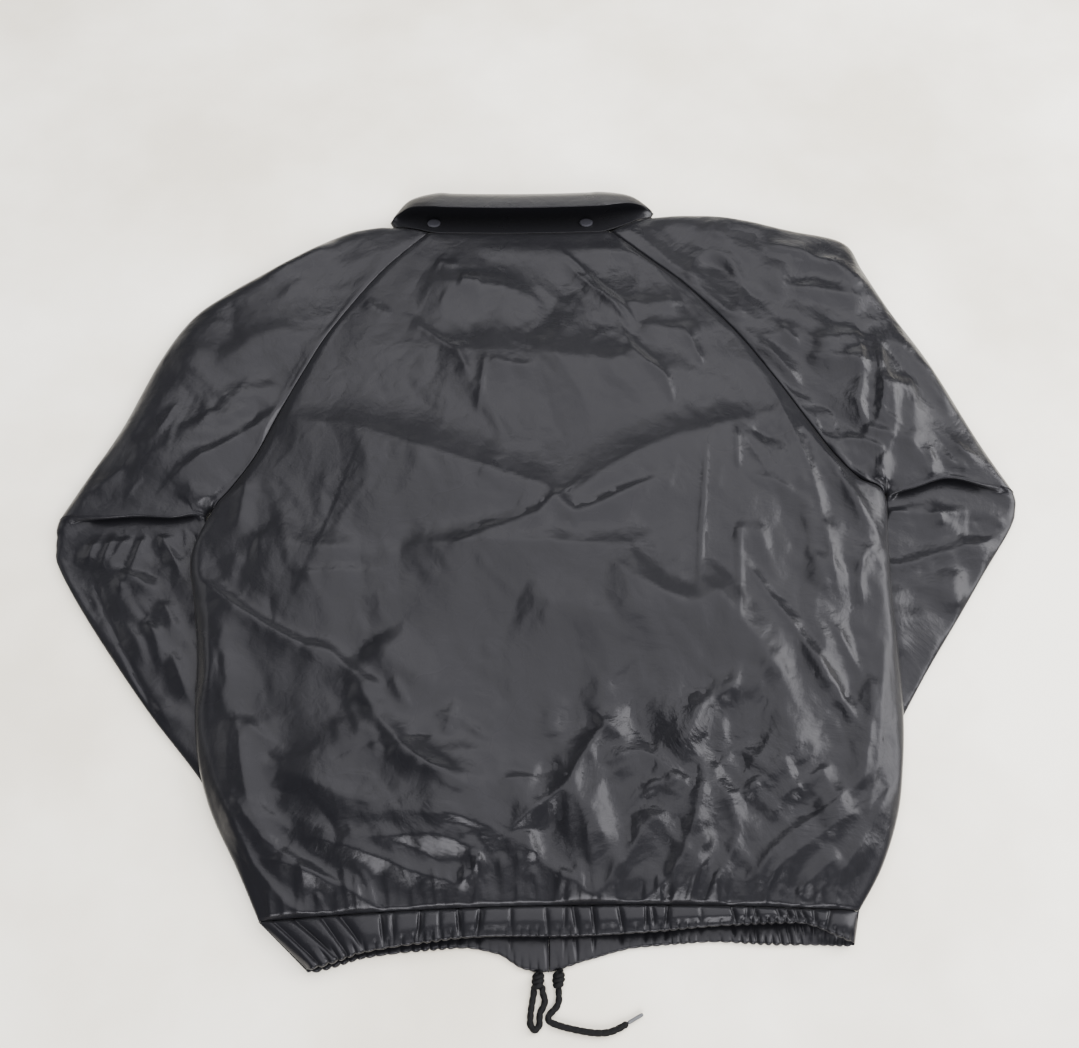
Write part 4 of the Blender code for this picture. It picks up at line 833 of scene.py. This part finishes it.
SLEEVE_RIGHT = [
    # outer x, outer y, inner x, inner y, raglan bend, top height, shift of the top layer
    (140, 356, 304.1, 31.8, 0.93, 18.0, 0),
    (174, 355, 304.7, 32.1, 0.85, 19.0, 0),
    (208, 348, 305.3, 32.3, 0.72, 20.0, 0),
    (250, 335, 305.8, 32.4, 0.58, 21.0, 0),
    (299, 320, 306.3, 32.4, 0.45, 21.5, 0),
    (314, 285, 306.7, 32.3, 0.32, 22.0, 0),
    (334, 236, 306.4, 32.0, 0.20, 22.0, 0),
    (364, 173, 306.2, 31.6, 0.10, 21.0, 0),
    (396, 88, 305.9, 31.0, 0.04, 19.5, 0),
    (417, 39, 305.6, 30.0, 0.0, 18.6, 4),
    (419, 34, 305.3, 28.6, 0.0, 17.2, 0),
    (420, 29, 305.0, 27.0, 0.0, 13.8, 5),
    (420, 24, 304.6, 25.2, 0.0, 12.4, 20),
    (419, 19, 304.0, 23.0, 0.0, 10.6, 25),
    (418, 14, 303.2, 20.4, 0.0, 9.3, 23),
    (416, 8, 302.0, 17.0, 0.0, 8.8, 0),
    (407, -8, 298.0, 6.5, 0.0, 8.3, 0),
    (383, -43, 282.0, -13.0, 0.0, 8.2, 0),
    (356, -84, 261.0, -36.0, 0.0, 8.2, 0),
    (321, -136, 228.0, -88.0, 0.0, 8.2, 0),
    (283, -197, 190.0, -146.0, 0.0, 8.2, 0),
    (252, -246, 164.0, -196.0, 0.0, 8.2, 0),
    (238, -268, 156.0, -218.0, 0.0, 8.2, 0),
]
NECKLINE_LEFT = (-143, 338)
NECKLINE_RIGHT = (110, 353)
NECKLINE_SHARES = np.array([0, 0.01, 0.04, 0.09, 0.16, 0.25, 0.36, 0.5, 0.65, 0.82])
SLEEVE_EDGE = 6
EDGE_PER_HEIGHT = 0.47
ROUND_PER_HEIGHT = 0.9
SLEEVE_SHARE = 0.85
SEAM_EASE_ROWS = 4
TUCK_OUTER = 0.45
TUCK_INNER = 0.25
TUCK_ROW = 9  # the table's row at which the tuck starts, and that at which it is over
FOREARM_ROW = 15
CUFF_ROW = 22
TUCK_SPREAD = 3.2
TUCK_BOW = (3, 10)  # how far the tucks of the left and right sleeves bow up the arm
TUCK_SWAY = 0.35
ARMPIT_HEIGHT = 13
SEAM_STEP = 0.03
SEAM_POINTS = 66
ARMPIT_POINTS = 30
UPPER_LEFT_CREASES = [
    (3.9, 7, 18, 1.6, [(-325, 38), (-299, 62), (-275, 78), (-256, 95), (-240, 112)]),
    (2.4, 5, 10, 1.5, [(-392, 33), (-381, 40), (-369, 52)]),
    (3.9, 12, 14, 1.8, [(-266, 272), (-241, 287), (-218, 300), (-198, 310)]),
    (3.0, 14, 20, 2, [(-351, 104), (-329, 148), (-317, 193)]),
    (3.0, 14, 22, 2, [(-294, 159), (-265, 193), (-224, 205)]),
    (2.4, 8, 12, 1.8, [(-313, 20), (-305, 26), (-284, 20)]),
    (3.3, 18, 26, 2, [(-370, 50), (-337, 66), (-305, 93), (-277, 125)]),
    (2.1, 5, 8, 1.5, [(-348, 82), (-337, 98), (-328, 120)]),
]
UPPER_RIGHT_CREASES = [
    (3.0, 9, 16, 1.7, [(219, 304), (243, 306), (269, 306)]),
    (3.9, 7, 14, 1.5, [(229, 304), (258, 292), (287, 282), (311, 255)]),
    (4.4, 12, 12, 1.6, [(239, 255), (262, 252), (283, 247), (314, 237)]),
    (3.3, 7, 7, 1.5, [(154, 287), (171, 296), (187, 285), (192, 241), (184, 215)]),
    (3.3, 7, 7, 1.5, [(144, 259), (149, 287), (161, 305)]),
    (3.9, 10, 12, 1.6, [(229, 291), (230, 265), (226, 238)]),
    (4.4, 10, 12, 1.5, [(254, 193), (276, 192), (301, 200)]),
    (4.2, 10, 12, 1.5, [(247, 175), (270, 170), (296, 167)]),
    (5.2, 9, 6, 1.4, [(316, 198), (313, 159), (311, 125), (303, 99)]),
    (4.7, 7, 9, 1.4, [(297, 188), (294, 148), (288, 114), (293, 97)]),
    (3.9, 7, 10, 1.5, [(291, 95), (305, 88), (319, 84)]),
    (4.2, 7, 9, 1.4, [(320, 153), (321, 125), (316, 87)]),
    (3.6, 7, 10, 1.5, [(323, 143), (334, 141), (344, 148)]),
    (3.6, 10, 10, 1.6, [(340, 141), (336, 104), (329, 59)]),
    (3.0, 6, 8, 1.5, [(227, 211), (234, 196), (242, 188)]),
    (3.6, 6, 8, 1.5, [(206, 193), (222, 168), (238, 142)]),
    (3.6, 6, 8, 1.5, [(271, 84), (288, 82), (306, 69)]),
    (3.9, 6, 7, 1.4, [(306, 69), (301, 50), (304, 32)]),
    (3.0, 6, 8, 1.5, [(272, 46), (282, 40), (295, 30)]),
    (2.7, 5, 8, 1.5, [(345, 76), (348, 59), (344, 44)]),
    (3.0, 5, 7, 1.5, [(360, 69), (365, 59), (379, 55)]),
    (3.0, 5, 7, 1.5, [(371, 82), (376, 69), (387, 63)]),
    (2.4, 6, 9, 1.6, [(362, 125), (369, 130), (375, 139)]),
    (3.6, 5, 6, 1.4, [(170, 345), (173, 328), (182, 318)]),
    (2.7, 8, 12, 1.7, [(271, 287), (293, 271), (307, 253)]),
]
FOREARM_LEFT_CREASES = [
    (-1.5, 2.5, 2.5, 1.8, [(-386, -40), (-367, -82), (-341, -127), (-319, -165), (-299, -190)]),
    (3.3, 5, 6, 1.4, [(-367, -5), (-371, -21), (-375, -40)]),
    (3.3, 5, 6, 1.4, [(-355, -9), (-362, -25), (-369, -42)]),
    (3.0, 5, 6, 1.4, [(-342, -9), (-346, -27), (-349, -45)]),
    (3.6, 6, 6, 1.4, [(-379, -3), (-385, -20), (-388, -37)]),
    (3.6, 6, 7, 1.4, [(-329, -9), (-318, -27), (-307, -46)]),
    (3.9, 7, 9, 1.5, [(-349, -45), (-354, -56), (-358, -65)]),
    (3.6, 7, 9, 1.5, [(-347, -48), (-338, -58), (-326, -64)]),
    (3.6, 8, 9, 1.5, [(-321, -73), (-311, -85), (-303, -105)]),
    (3.0, 7, 9, 1.5, [(-330, -92), (-318, -110), (-313, -133)]),
    (3.0, 6, 8, 1.5, [(-316, -170), (-299, -176), (-280, -183)]),
    (2.7, 6, 8, 1.6, [(-352, -92), (-336, -110), (-325, -132)]),
    (3.0, 8, 8, 1.6, [(-306, -120), (-293, -147), (-284, -164)]),
]
FOREARM_RIGHT_CREASES = [
    (3.9, 6, 9, 1.4, [(301, 10), (321, 17), (350, 26), (359, 32)]),
    (3.9, 6, 9, 1.5, [(351, 14), (373, 18), (396, 23)]),
    (3.3, 5, 7, 1.4, [(347, 26), (349, 13), (351, -1)]),
    (4.2, 7, 12, 1.4, [(298, -39), (322, -36), (340, -30), (363, -24), (386, -16), (403, -7)]),
    (2.7, 9, 9, 1.7, [(357, -39), (351, -64), (346, -84)]),
    (3.0, 8, 8, 1.6, [(390, 26), (398, 11), (405, -2)]),
    (2.4, 8, 9, 1.7, [(300, -64), (300, -97), (299, -129)]),
]
UPPER_CRUMPLE = [
    (-310, 150, 90, 120, 44, 55, 45, 34, 0.9),
    (330, 170, 80, 130, 70, 100, 60, 28, 1.3),
]
FOREARM_CRUMPLE = [
    (-340, -80, 70, 100, 60, -60, 45, 26, 1.1),
    (350, -60, 60, 90, 40, 80, 50, 30, 0.8),
]


def square_to_seam(station, right):
    """Direction away from the body, square to its raglan seam."""
    start = np.minimum(station, NECK_STATION - SEAM_STEP)
    low = np.stack(body_plan(start, float(right))[:2], axis=-1)
    high = np.stack(body_plan(start + SEAM_STEP, float(right))[:2], axis=-1)
    seam = high - low
    across = np.stack([seam[..., 1], -seam[..., 0]], axis=-1) * (1 if right else -1)
    return across / np.linalg.norm(across, axis=-1)[..., None]


def sleeve_seam(right):
    """Top and bottom lines of the sleeve's first ring, from the neckline to the armpit."""
    station = np.concatenate([np.linspace(NECK_STATION, SEAM_OPENS, SEAM_POINTS)[:-1],
                              np.linspace(SEAM_OPENS, ARMPIT_STATION, ARMPIT_POINTS)])
    across = square_to_seam(station, right) * SEAM_GAP
    x, y, top_z = back_surface(station, float(right))[:3]
    low_z = front_surface(station, float(right))[2]
    seam_x, seam_y = x + across[:, 0], y + across[:, 1]
    fold = NECKLINE_RIGHT if right else NECKLINE_LEFT
    round_up = quarter_round(NECKLINE_SHARES, 1.0)
    lines = []
    for z in (top_z, low_z):
        neck = np.stack([lerp(fold[0], seam_x[0], NECKLINE_SHARES),
                         lerp(fold[1], seam_y[0], NECKLINE_SHARES),
                         lerp(SLEEVE_EDGE, z[0], round_up)], axis=-1)
        lines.append(np.concatenate([neck, np.stack([seam_x, seam_y, z], axis=-1)]))
        lines[-1][-1, 2] = ARMPIT_HEIGHT
    return lines


def sleeve_layers(right, rows):
    """Top and bottom layers of a sleeve at fractional rows of its table, and the distance in from
    the nearer edge. Row -1 is the seam to the body."""
    top_seam, low_seam = sleeve_seam(right)
    steps = np.linalg.norm(np.diff(top_seam[:, :2], axis=0), axis=1)
    share = np.concatenate([[0], np.cumsum(steps)])
    share = share / share[-1]
    bends = top_seam[:, :2] - lerp(top_seam[0, :2], top_seam[-1, :2], share[:, None])
    table = read_rows(SLEEVE_RIGHT if right else SLEEVE_LEFT, np.maximum(rows, 0))
    outer, inner = table[:, None, [OUTER_X, OUTER_Y]], table[:, None, [INNER_X, INNER_Y]]
    bend, top, shift = (table[:, k, None] for k in (BEND, TOP, SHIFT))
    ease = smooth((rows[:, None] + 1) / SEAM_EASE_ROWS)
    plan = lerp(outer, inner, share[None, :, None]) + bends[None] * bend[..., None]
    width = np.linalg.norm(inner - outer, axis=-1)
    near = np.minimum(share, 1 - share)[None] * width
    rounding = quarter_round(near, ROUND_PER_HEIGHT * top)
    rise = SLEEVE_SHARE * rounding + (1 - SLEEVE_SHARE) * np.sin(math.pi * share)[None]
    edge = np.minimum(SLEEVE_EDGE, EDGE_PER_HEIGHT * top)
    slide = shift * smooth(share / TUCK_OUTER) * smooth((1 - share) / TUCK_INNER)
    at_tuck = np.exp(-((rows[:, None] - TUCK_ROW - 2) / TUCK_SPREAD) ** 2)
    sway = np.sin(math.pi * share) * (1 - TUCK_SWAY * np.sin(9 * share))
    plan[..., 1] += TUCK_BOW[right] * at_tuck * sway
    top_z = lerp(top_seam[None, :, 2], lerp(edge, top, rise), ease)
    low_z = lerp(low_seam[None, :, 2], lerp(edge, 0.0, rounding), ease)
    upper = np.stack([plan[..., 0], plan[..., 1] + slide, top_z], axis=-1)
    lower = np.stack([plan[..., 0], plan[..., 1], low_z], axis=-1)
    before = (rows < 0)[:, None, None]
    share_in = np.clip(rows + 1, 0, 1)[:, None, None]
    upper = np.where(before, lerp(top_seam[None], upper, share_in), upper)
    lower = np.where(before, lerp(low_seam[None], lower, share_in), lower)
    return upper, lower, near


ARM_LINES, TUCK_LINES, FOREARM_LINES = 84, 60, 83
SLEEVE_ROWS = np.concatenate([np.linspace(-1, TUCK_ROW, ARM_LINES)[:-1],
                              np.linspace(TUCK_ROW, FOREARM_ROW, TUCK_LINES)[:-1],
                              np.linspace(FOREARM_ROW, CUFF_ROW, FOREARM_LINES)])
SLEEVE_STEP = 2
ARM_SEED = 21
FOREARM_SEED = 22
SLEEVE_CRUMPLED = (0.4, 0.75)  # left, right: the large relief, and the small dents
SLEEVE_DENTED = (0.5, 0.8)
SLEEVE_CRUMPLED_WAY = 0.5
ARM_CREASES_IN = 10
FOREARM_CREASES_IN = 8
UNDER_CREASES_IN = 20
UNDER_CREASES = 0.3  # share of the creases' height that shows on the underside
ROW_LENGTH = 22  # mm of cloth from the seam to the table's first row
CUFF_LENGTH = 28
CUFF_LINES = 30
CUFF_SHIRRS = 8
CUFF_DEPTH = 0.35
for right, side in ((False, "left"), (True, "right")):
    upper, lower, near = sleeve_layers(right, SLEEVE_ROWS)
    row = SLEEVE_ROWS[:, None]
    arm = UPPER_RIGHT_CREASES if right else UPPER_LEFT_CREASES
    fore = FOREARM_RIGHT_CREASES if right else FOREARM_LEFT_CREASES
    arm = arm + scattered([UPPER_CRUMPLE[right]], ARM_SEED)
    fore = fore + scattered([FOREARM_CRUMPLE[right]], FOREARM_SEED)
    on_arm = smooth((TUCK_ROW + 0.4 - row) / 0.8) * smooth((row + 1) / 0.6)
    on_arm = on_arm * smooth(near / ARM_CREASES_IN)
    on_fore = smooth(row - FOREARM_ROW + 0.5) * smooth(near / FOREARM_CREASES_IN)
    upper[..., 2] += on_arm * crease_height(upper[..., 0], upper[..., 1], arm)
    upper[..., 2] += on_fore * crease_height(upper[..., 0], upper[..., 1], fore)
    height = rumple(upper[..., 0], upper[..., 1], SLEEVE_CRUMPLED_WAY)
    upper[..., 2] += SLEEVE_CRUMPLED[right] * (on_arm + on_fore) * height
    folds = np.abs(crease_height(lower[..., 0], lower[..., 1], arm))
    lower[..., 2] += UNDER_CREASES * folds * smooth(near / UNDER_CREASES_IN)
    upper[..., 2] -= seam_roll((row + 1) * ROW_LENGTH, SIDE_ROLL)
    ring = np.concatenate([upper, lower[:, -2:0:-1]], axis=1)
    ring[..., 2] += FLOOR_CLEARANCE
    sleeve = sheet_shell("sleeve_cloth_" + side, ring if right else ring[:, ::-1], cloth, wrap=True,
                         step=SLEEVE_STEP, crumple=SLEEVE_DENTED[right])
    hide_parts("sleeve_" + side)
    # the cuff: a short tube drawn in by elastic, in even shallow gathers
    end = ring[-1]
    onward = (ring[-1] - ring[-4]).mean(axis=0)
    onward[2] = 0
    onward /= np.linalg.norm(onward)
    run = np.linspace(SEAM_GAP, CUFF_LENGTH, CUFF_LINES)[:, None, None]
    ripple = np.cos(np.arange(ring.shape[1]) * 2 * math.pi / CUFF_SHIRRS)[None, :, None]
    inside = smooth(run / 4) * CUFF_DEPTH * (1 + ripple) * np.array([0, 0, 1.0])
    grid = end[None] + onward * run
    grid -= inside * np.sign(end[:, 2] - end[:, 2].mean())[None, :, None]
    cuff = sheet_shell("cuff_cloth_" + side, grid if right else grid[:, ::-1], cloth, wrap=True)
    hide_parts("cuff_" + side)


# The hem is a turned-up casing, stitched along its top and bunched on the drawcord inside it. The
# back's casing lies over the two fronts', whose edges show below it.
HEM_BACK_EDGE = [(-173, -380), (-133, -368), (-60, -357), (43, -355), (125, -349),
                 (196, -346), (236, -360)]
HEM_LEFT_EDGE = [(-173, -380.5), (-133, -370), (-60, -362), (-30, -367), (-13, -377), (7.0, -379.5)]
HEM_RIGHT_EDGE = [(7.3, -379), (32, -372), (70, -362), (128, -358), (200, -360), (236, -361)]
GATHER_HEIGHT = 2.25
HEM_WIDTH = 410
HEM_STRAIGHT = (-120, 205)  # the casing's folds run straight down between these
HEM_CORNER = 6
HEM_BACK_LIP = 12.5
BACK_PUFF = 3.0
BACK_ROLL = 1.9  # radius of the casing's bunched lower edge
BACK_BUNCHES = 7.4  # mm from one bunch to the next
BACK_POINTS = 640
FRONT_PUFF = 1.2
FRONT_ROLL = 1.7
FRONT_BUNCHES = 7.0
FRONT_POINTS = 330
PUFF_RISE = 6  # how steeply the casing swells out from its stitches
PUFF_FALL = 0.55  # share of its swell that it has lost at its lower edge
BUNCHED_FROM = 0.62  # share of the way down from which it is bunched
CASING_LINES = 20
LIP_LINES = 8
UNDER_LINES = 7
LIP_TURN = math.radians(165)
LIP_IN = 1.5  # how far a furrow between two bunches draws the edge in
MEAN_BUNCH = 0.6
FRONT_STITCH_RISE = 0.6  # the fronts' casing is two layers, so it lies a little over the front
FRONT_INSIDE = 0.5  # and its under layer this far below
TUCK_DEPTH = 1.1
TUCKS = [
    # place along the hem, depth, lean towards the stitches
    (-163, 0.7, -4), (-150, 1.0, -8), (-143, 0.8, -3), (-131, 1.0, -7), (-116, 0.9, -4), (-109, 0.6, -2),
    (-91, 0.9, 1), (-75, 0.4, -1), (-60, 1.0, -2), (-47, 1.0, 2), (-22, 0.5, 0), (6, 0.6, -2),
    (18, 0.5, 1), (28, 0.9, -3), (41, 1.0, -2), (62, 0.9, -3), (79, 0.9, 1), (86, 0.7, -2),
    (94, 1.0, 2), (121, 0.4, 0), (147, 1.0, -3), (155, 0.6, 1), (163, 0.8, -2), (181, 0.7, -3),
    (188, 1.0, -3), (194, 0.7, -2), (200, 0.9, -4), (206, 0.8, 0), (214, 0.6, 3),
]


def lip_line(table, x):
    """How far up the page the casing's lower edge lies at each x."""
    table = np.array(table, dtype=float)
    where = np.interp(x, table[:, 0], np.arange(len(table)))
    return read_rows(table, where)[..., 1]


def bunches(run, spacing):
    """Bunched cloth from 0 in the furrows to 1 on the rolls, unevenly spaced and uneven in height."""
    phase = 2 * math.pi * run / spacing + 2.3 * np.sin(run / 31) + 1.6 * np.sin(run / 9.7 + 2)
    tight = 0.4 + 0.6 * smooth((np.abs(run - 20) - 60) / 60)  # slacker about the middle
    rolls = np.abs(np.sin(phase / 2)) ** 0.7 * (0.7 + 0.3 * np.sin(run / 13 + 1))
    return MEAN_BUNCH + tight * (rolls - MEAN_BUNCH)


def tucks(run, at_stitch):
    """Puffed panels between folds that run the casing's height, 0 in the folds."""
    depth = np.ones_like(run)
    for i, (at, deep, lean) in enumerate(TUCKS):
        away = run - at - lean * at_stitch
        flank = np.where(away > 0, 2.6, 1.0 + 0.4 * math.sin(3.1 * i))
        depth = np.minimum(depth, 1 - deep * np.exp(-np.abs(away / flank) ** 1.2))
    return depth


def below_stitches(x, first, last, straight):
    """Place of the lower edge under each stitch, straight below it but for the hem's two corners."""
    low, high = straight
    return np.interp(x, [x[0], low, high, x[-1]], [first, low, high, last])


def casing_rows(stitch, lip, spacing, roll, puff, rounding):
    """Rows of a casing's outside, from its stitches to its edge and round under it."""
    lines = []
    wave = bunches(lip[:, 0], spacing)
    for depth in np.linspace(0, 1, CASING_LINES):
        shape = lerp(stitch, lip, depth)
        swell = puff * (1 - math.exp(-depth * PUFF_RISE)) * (1 - PUFF_FALL * smooth(2 * depth - 1))
        at_lip = smooth((depth - BUNCHED_FROM) / (1 - BUNCHED_FROM))
        panel = tucks(lip[:, 0], 1 - depth)
        bunched = GATHER_HEIGHT * (wave - MEAN_BUNCH) * at_lip
        folded = TUCK_DEPTH * (panel - 1) * (1 - at_lip)
        shape[:, 2] += swell * rounding * lerp(panel, 1.0, 0.2 * at_lip)
        shape[:, 2] += (bunched + folded) * rounding
        shape[:, 1] -= LIP_IN * (wave - MEAN_BUNCH) * at_lip * rounding
        lines.append(shape)
    for turn in np.linspace(0, LIP_TURN, LIP_LINES + 1)[1:]:
        shape = lines[CASING_LINES - 1].copy()
        radius = roll * (0.7 + 0.5 * wave) * (0.4 + 0.6 * rounding)
        shape[:, 1] -= radius * math.sin(turn)
        shape[:, 2] -= radius * (1 - math.cos(turn))
        lines.append(shape)
    return lines


share = np.linspace(0, 1, BACK_POINTS)
x, y, z = back_surface(np.zeros_like(share), share)[:3]
stitch = np.stack([x, y - SEAM_GAP, z - HEM_ROLL], axis=-1)
lip_x = below_stitches(x, HEM_BACK_EDGE[0][0], HEM_BACK_EDGE[-1][0], HEM_STRAIGHT)
rounding = quarter_round(np.minimum(share, 1 - share) * HEM_WIDTH, TOP_ROUND)
lip_z = lerp(HEM_CORNER + SEAM_GAP, HEM_BACK_LIP, rounding)
lip = np.stack([lip_x, lip_line(HEM_BACK_EDGE, lip_x) + BACK_ROLL, lip_z], axis=-1)
rows = casing_rows(stitch, lip, BACK_BUNCHES, BACK_ROLL, BACK_PUFF, rounding)
hem_back = sheet_shell("hem_casing_back", np.array(rows)[::-1], cloth)
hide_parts("hem_back")
for right, side in ((False, "left"), (True, "right")):
    table = HEM_RIGHT_EDGE if right else HEM_LEFT_EDGE
    end_share = centre_share(np.array(0.0), table[0][0] if right else table[-1][0])
    first, last = (end_share, 1.0) if right else (0.0, end_share)
    share = lerp(first, last, np.linspace(0, 1, FRONT_POINTS))
    x, y, z = front_surface(np.zeros_like(share), share)[:3]
    straight = (x[1], HEM_STRAIGHT[1]) if right else (HEM_STRAIGHT[0], x[-2])
    lip_x = below_stitches(x, table[0][0], table[-1][0], straight)
    rounding = quarter_round(np.minimum(share, 1 - share) * HEM_WIDTH, UNDER_ROUND)
    low = lerp(HEM_CORNER - SEAM_GAP, FLOOR_CLEARANCE, rounding)
    thick = 2 * FRONT_ROLL * rounding
    top = z + FLOOR_CLEARANCE + (lap_rise(x) if right else 0) + FRONT_STITCH_RISE
    stitch = np.stack([x, y - SEAM_GAP, top], axis=-1)
    lip = np.stack([lip_x, lip_line(table, lip_x) + FRONT_ROLL, low + thick], axis=-1)
    rows = casing_rows(stitch, lip, FRONT_BUNCHES, FRONT_ROLL, FRONT_PUFF, rounding)
    for depth in np.linspace(1, 0, UNDER_LINES + 1)[1:]:
        line = lerp(stitch, lip, depth)
        line[:, 2] = lerp(top - FRONT_INSIDE, low, smooth(depth / 0.4))
        rows.append(line)
    grid = np.array(rows)[::-1]
    grid[..., 2] = np.maximum(grid[..., 2], FLOOR_CLEARANCE)
    casing = sheet_shell("hem_casing_" + side, grid, cloth)
    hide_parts("hem_front_" + side)


# The collar is cut in one with its stand, of two layers of taffeta. Its stand runs up from the
# neck seam, and its fall turns back over it, with the two open ends beneath at the fronts.
COLLAR_FOLDED = [
    # out from the neck seam, height
    (0, 0), (13, -3), (27, -6), (38, -5), (44, 0), (43, 7.5), (34, 15), (22, 20), (12, 23),
]
COLLAR_FLAT = [(0, 0), (7, 0), (14, 0), (20, 0), (26, 0), (31, 0), (35, 0), (38, 0), (41, 0)]
COLLAR_SEAM = 0.35
COLLAR_END_SEAM = 1.5
COLLAR_STATIONS = 300
COLLAR_POINTS = 64
COLLAR_LEFT_END = [
    # x, y, height, splay in degrees, folded share, reach
    (-122, 331.5, 0.0, -6, 0.0, 0.75),
    (-134, 336.0, 0.6, -16, 0.0, 0.4),
    (-141, 338.5, 2.6, -24, 0.0, 0.24),
    (-143.6, 339.5, 6.2, -28, 0.0, 0.2),
    (-141.5, 338.8, 9.8, -26, 0.1, 0.24),
    (-134, 336.0, 13.6, -18, 0.5, 0.46),
    (-122, 331.5, 16.0, -8, 0.8, 0.8),
]
COLLAR_RIGHT_END = [
    # x, y, height, splay in degrees, folded share, reach
    (84, 337.0, 16.0, 8, 0.8, 0.8),
    (98, 346.0, 14.0, 18, 0.5, 0.46),
    (108, 352.6, 9.0, 26, 0.2, 0.2),
    (110.6, 354.6, 5.8, 28, 0.0, 0.14),
    (108, 352.6, 2.6, 24, 0.0, 0.2),
    (98, 346.0, 0.6, 16, 0.0, 0.4),
    (84, 337.0, 0.0, 6, 0.0, 0.75),
]
COLLAR_THICK = 0.8


def along_neck(surface, shares, folded):
    """Stations on the neck edge of a front or the back: x, y, height, splay, folded share, reach
    and clearance."""
    return [(*(float(v) for v in surface(np.array(NECK_STATION), np.array(share))[:3]),
             0, folded, 1, COLLAR_SEAM) for share in shares]


lines = along_neck(front_surface, (0.47, 0.4, 0.33, 0.25, 0.18, 0.1, 0.05, 0.0), 0)
lines += [(*line, COLLAR_END_SEAM) for line in COLLAR_LEFT_END]
lines += along_neck(back_surface, (0.04, 0.13, 0.24, 0.37, 0.5, 0.63, 0.76, 0.87, 0.96), 1)
lines += [(*line, COLLAR_END_SEAM) for line in COLLAR_RIGHT_END]
lines += along_neck(front_surface, (1.0, 0.95, 0.9, 0.84, 0.77, 0.7, 0.63, 0.58), 0)
stations = read_rows(lines, np.linspace(0, len(lines) - 1, COLLAR_STATIONS))
x, y, z, splay, folded, reach, seam = (stations[:, k, None] for k in range(7))
section_at = np.linspace(0, len(COLLAR_FOLDED) - 1, COLLAR_POINTS)
section = lerp(read_rows(COLLAR_FLAT, section_at), read_rows(COLLAR_FOLDED, section_at),
               folded[..., None])
run = seam + section[..., 0] * reach
rise = section[..., 1] * reach
splay = np.radians(splay)
grid = np.stack([x + np.sin(splay) * run, y + np.cos(splay) * run, z + rise + FLOOR_CLEARANCE],
                axis=-1)
collar = sheet_shell("collar_cloth", grid[:, ::-1], cloth, thick=COLLAR_THICK)
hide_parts("collar")

# The snaps are pressed metal caps, enamelled black: five down the placket, which face the floor,
# and two on the collar's stand.
# Enamel: a smooth, very dark grey with a clear coat, so each cap has one small bright spot
cap_finish, tree, shader = new_material("enamelled_cap", "34343A", 0.3)
shader.inputs["Coat Weight"].default_value = 0.3
shader.inputs["Coat Roughness"].default_value = 0.2
for name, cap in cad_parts.items():
    if "snap" in name:
        cap.data.materials.clear()
        cap.data.materials.append(cap_finish)
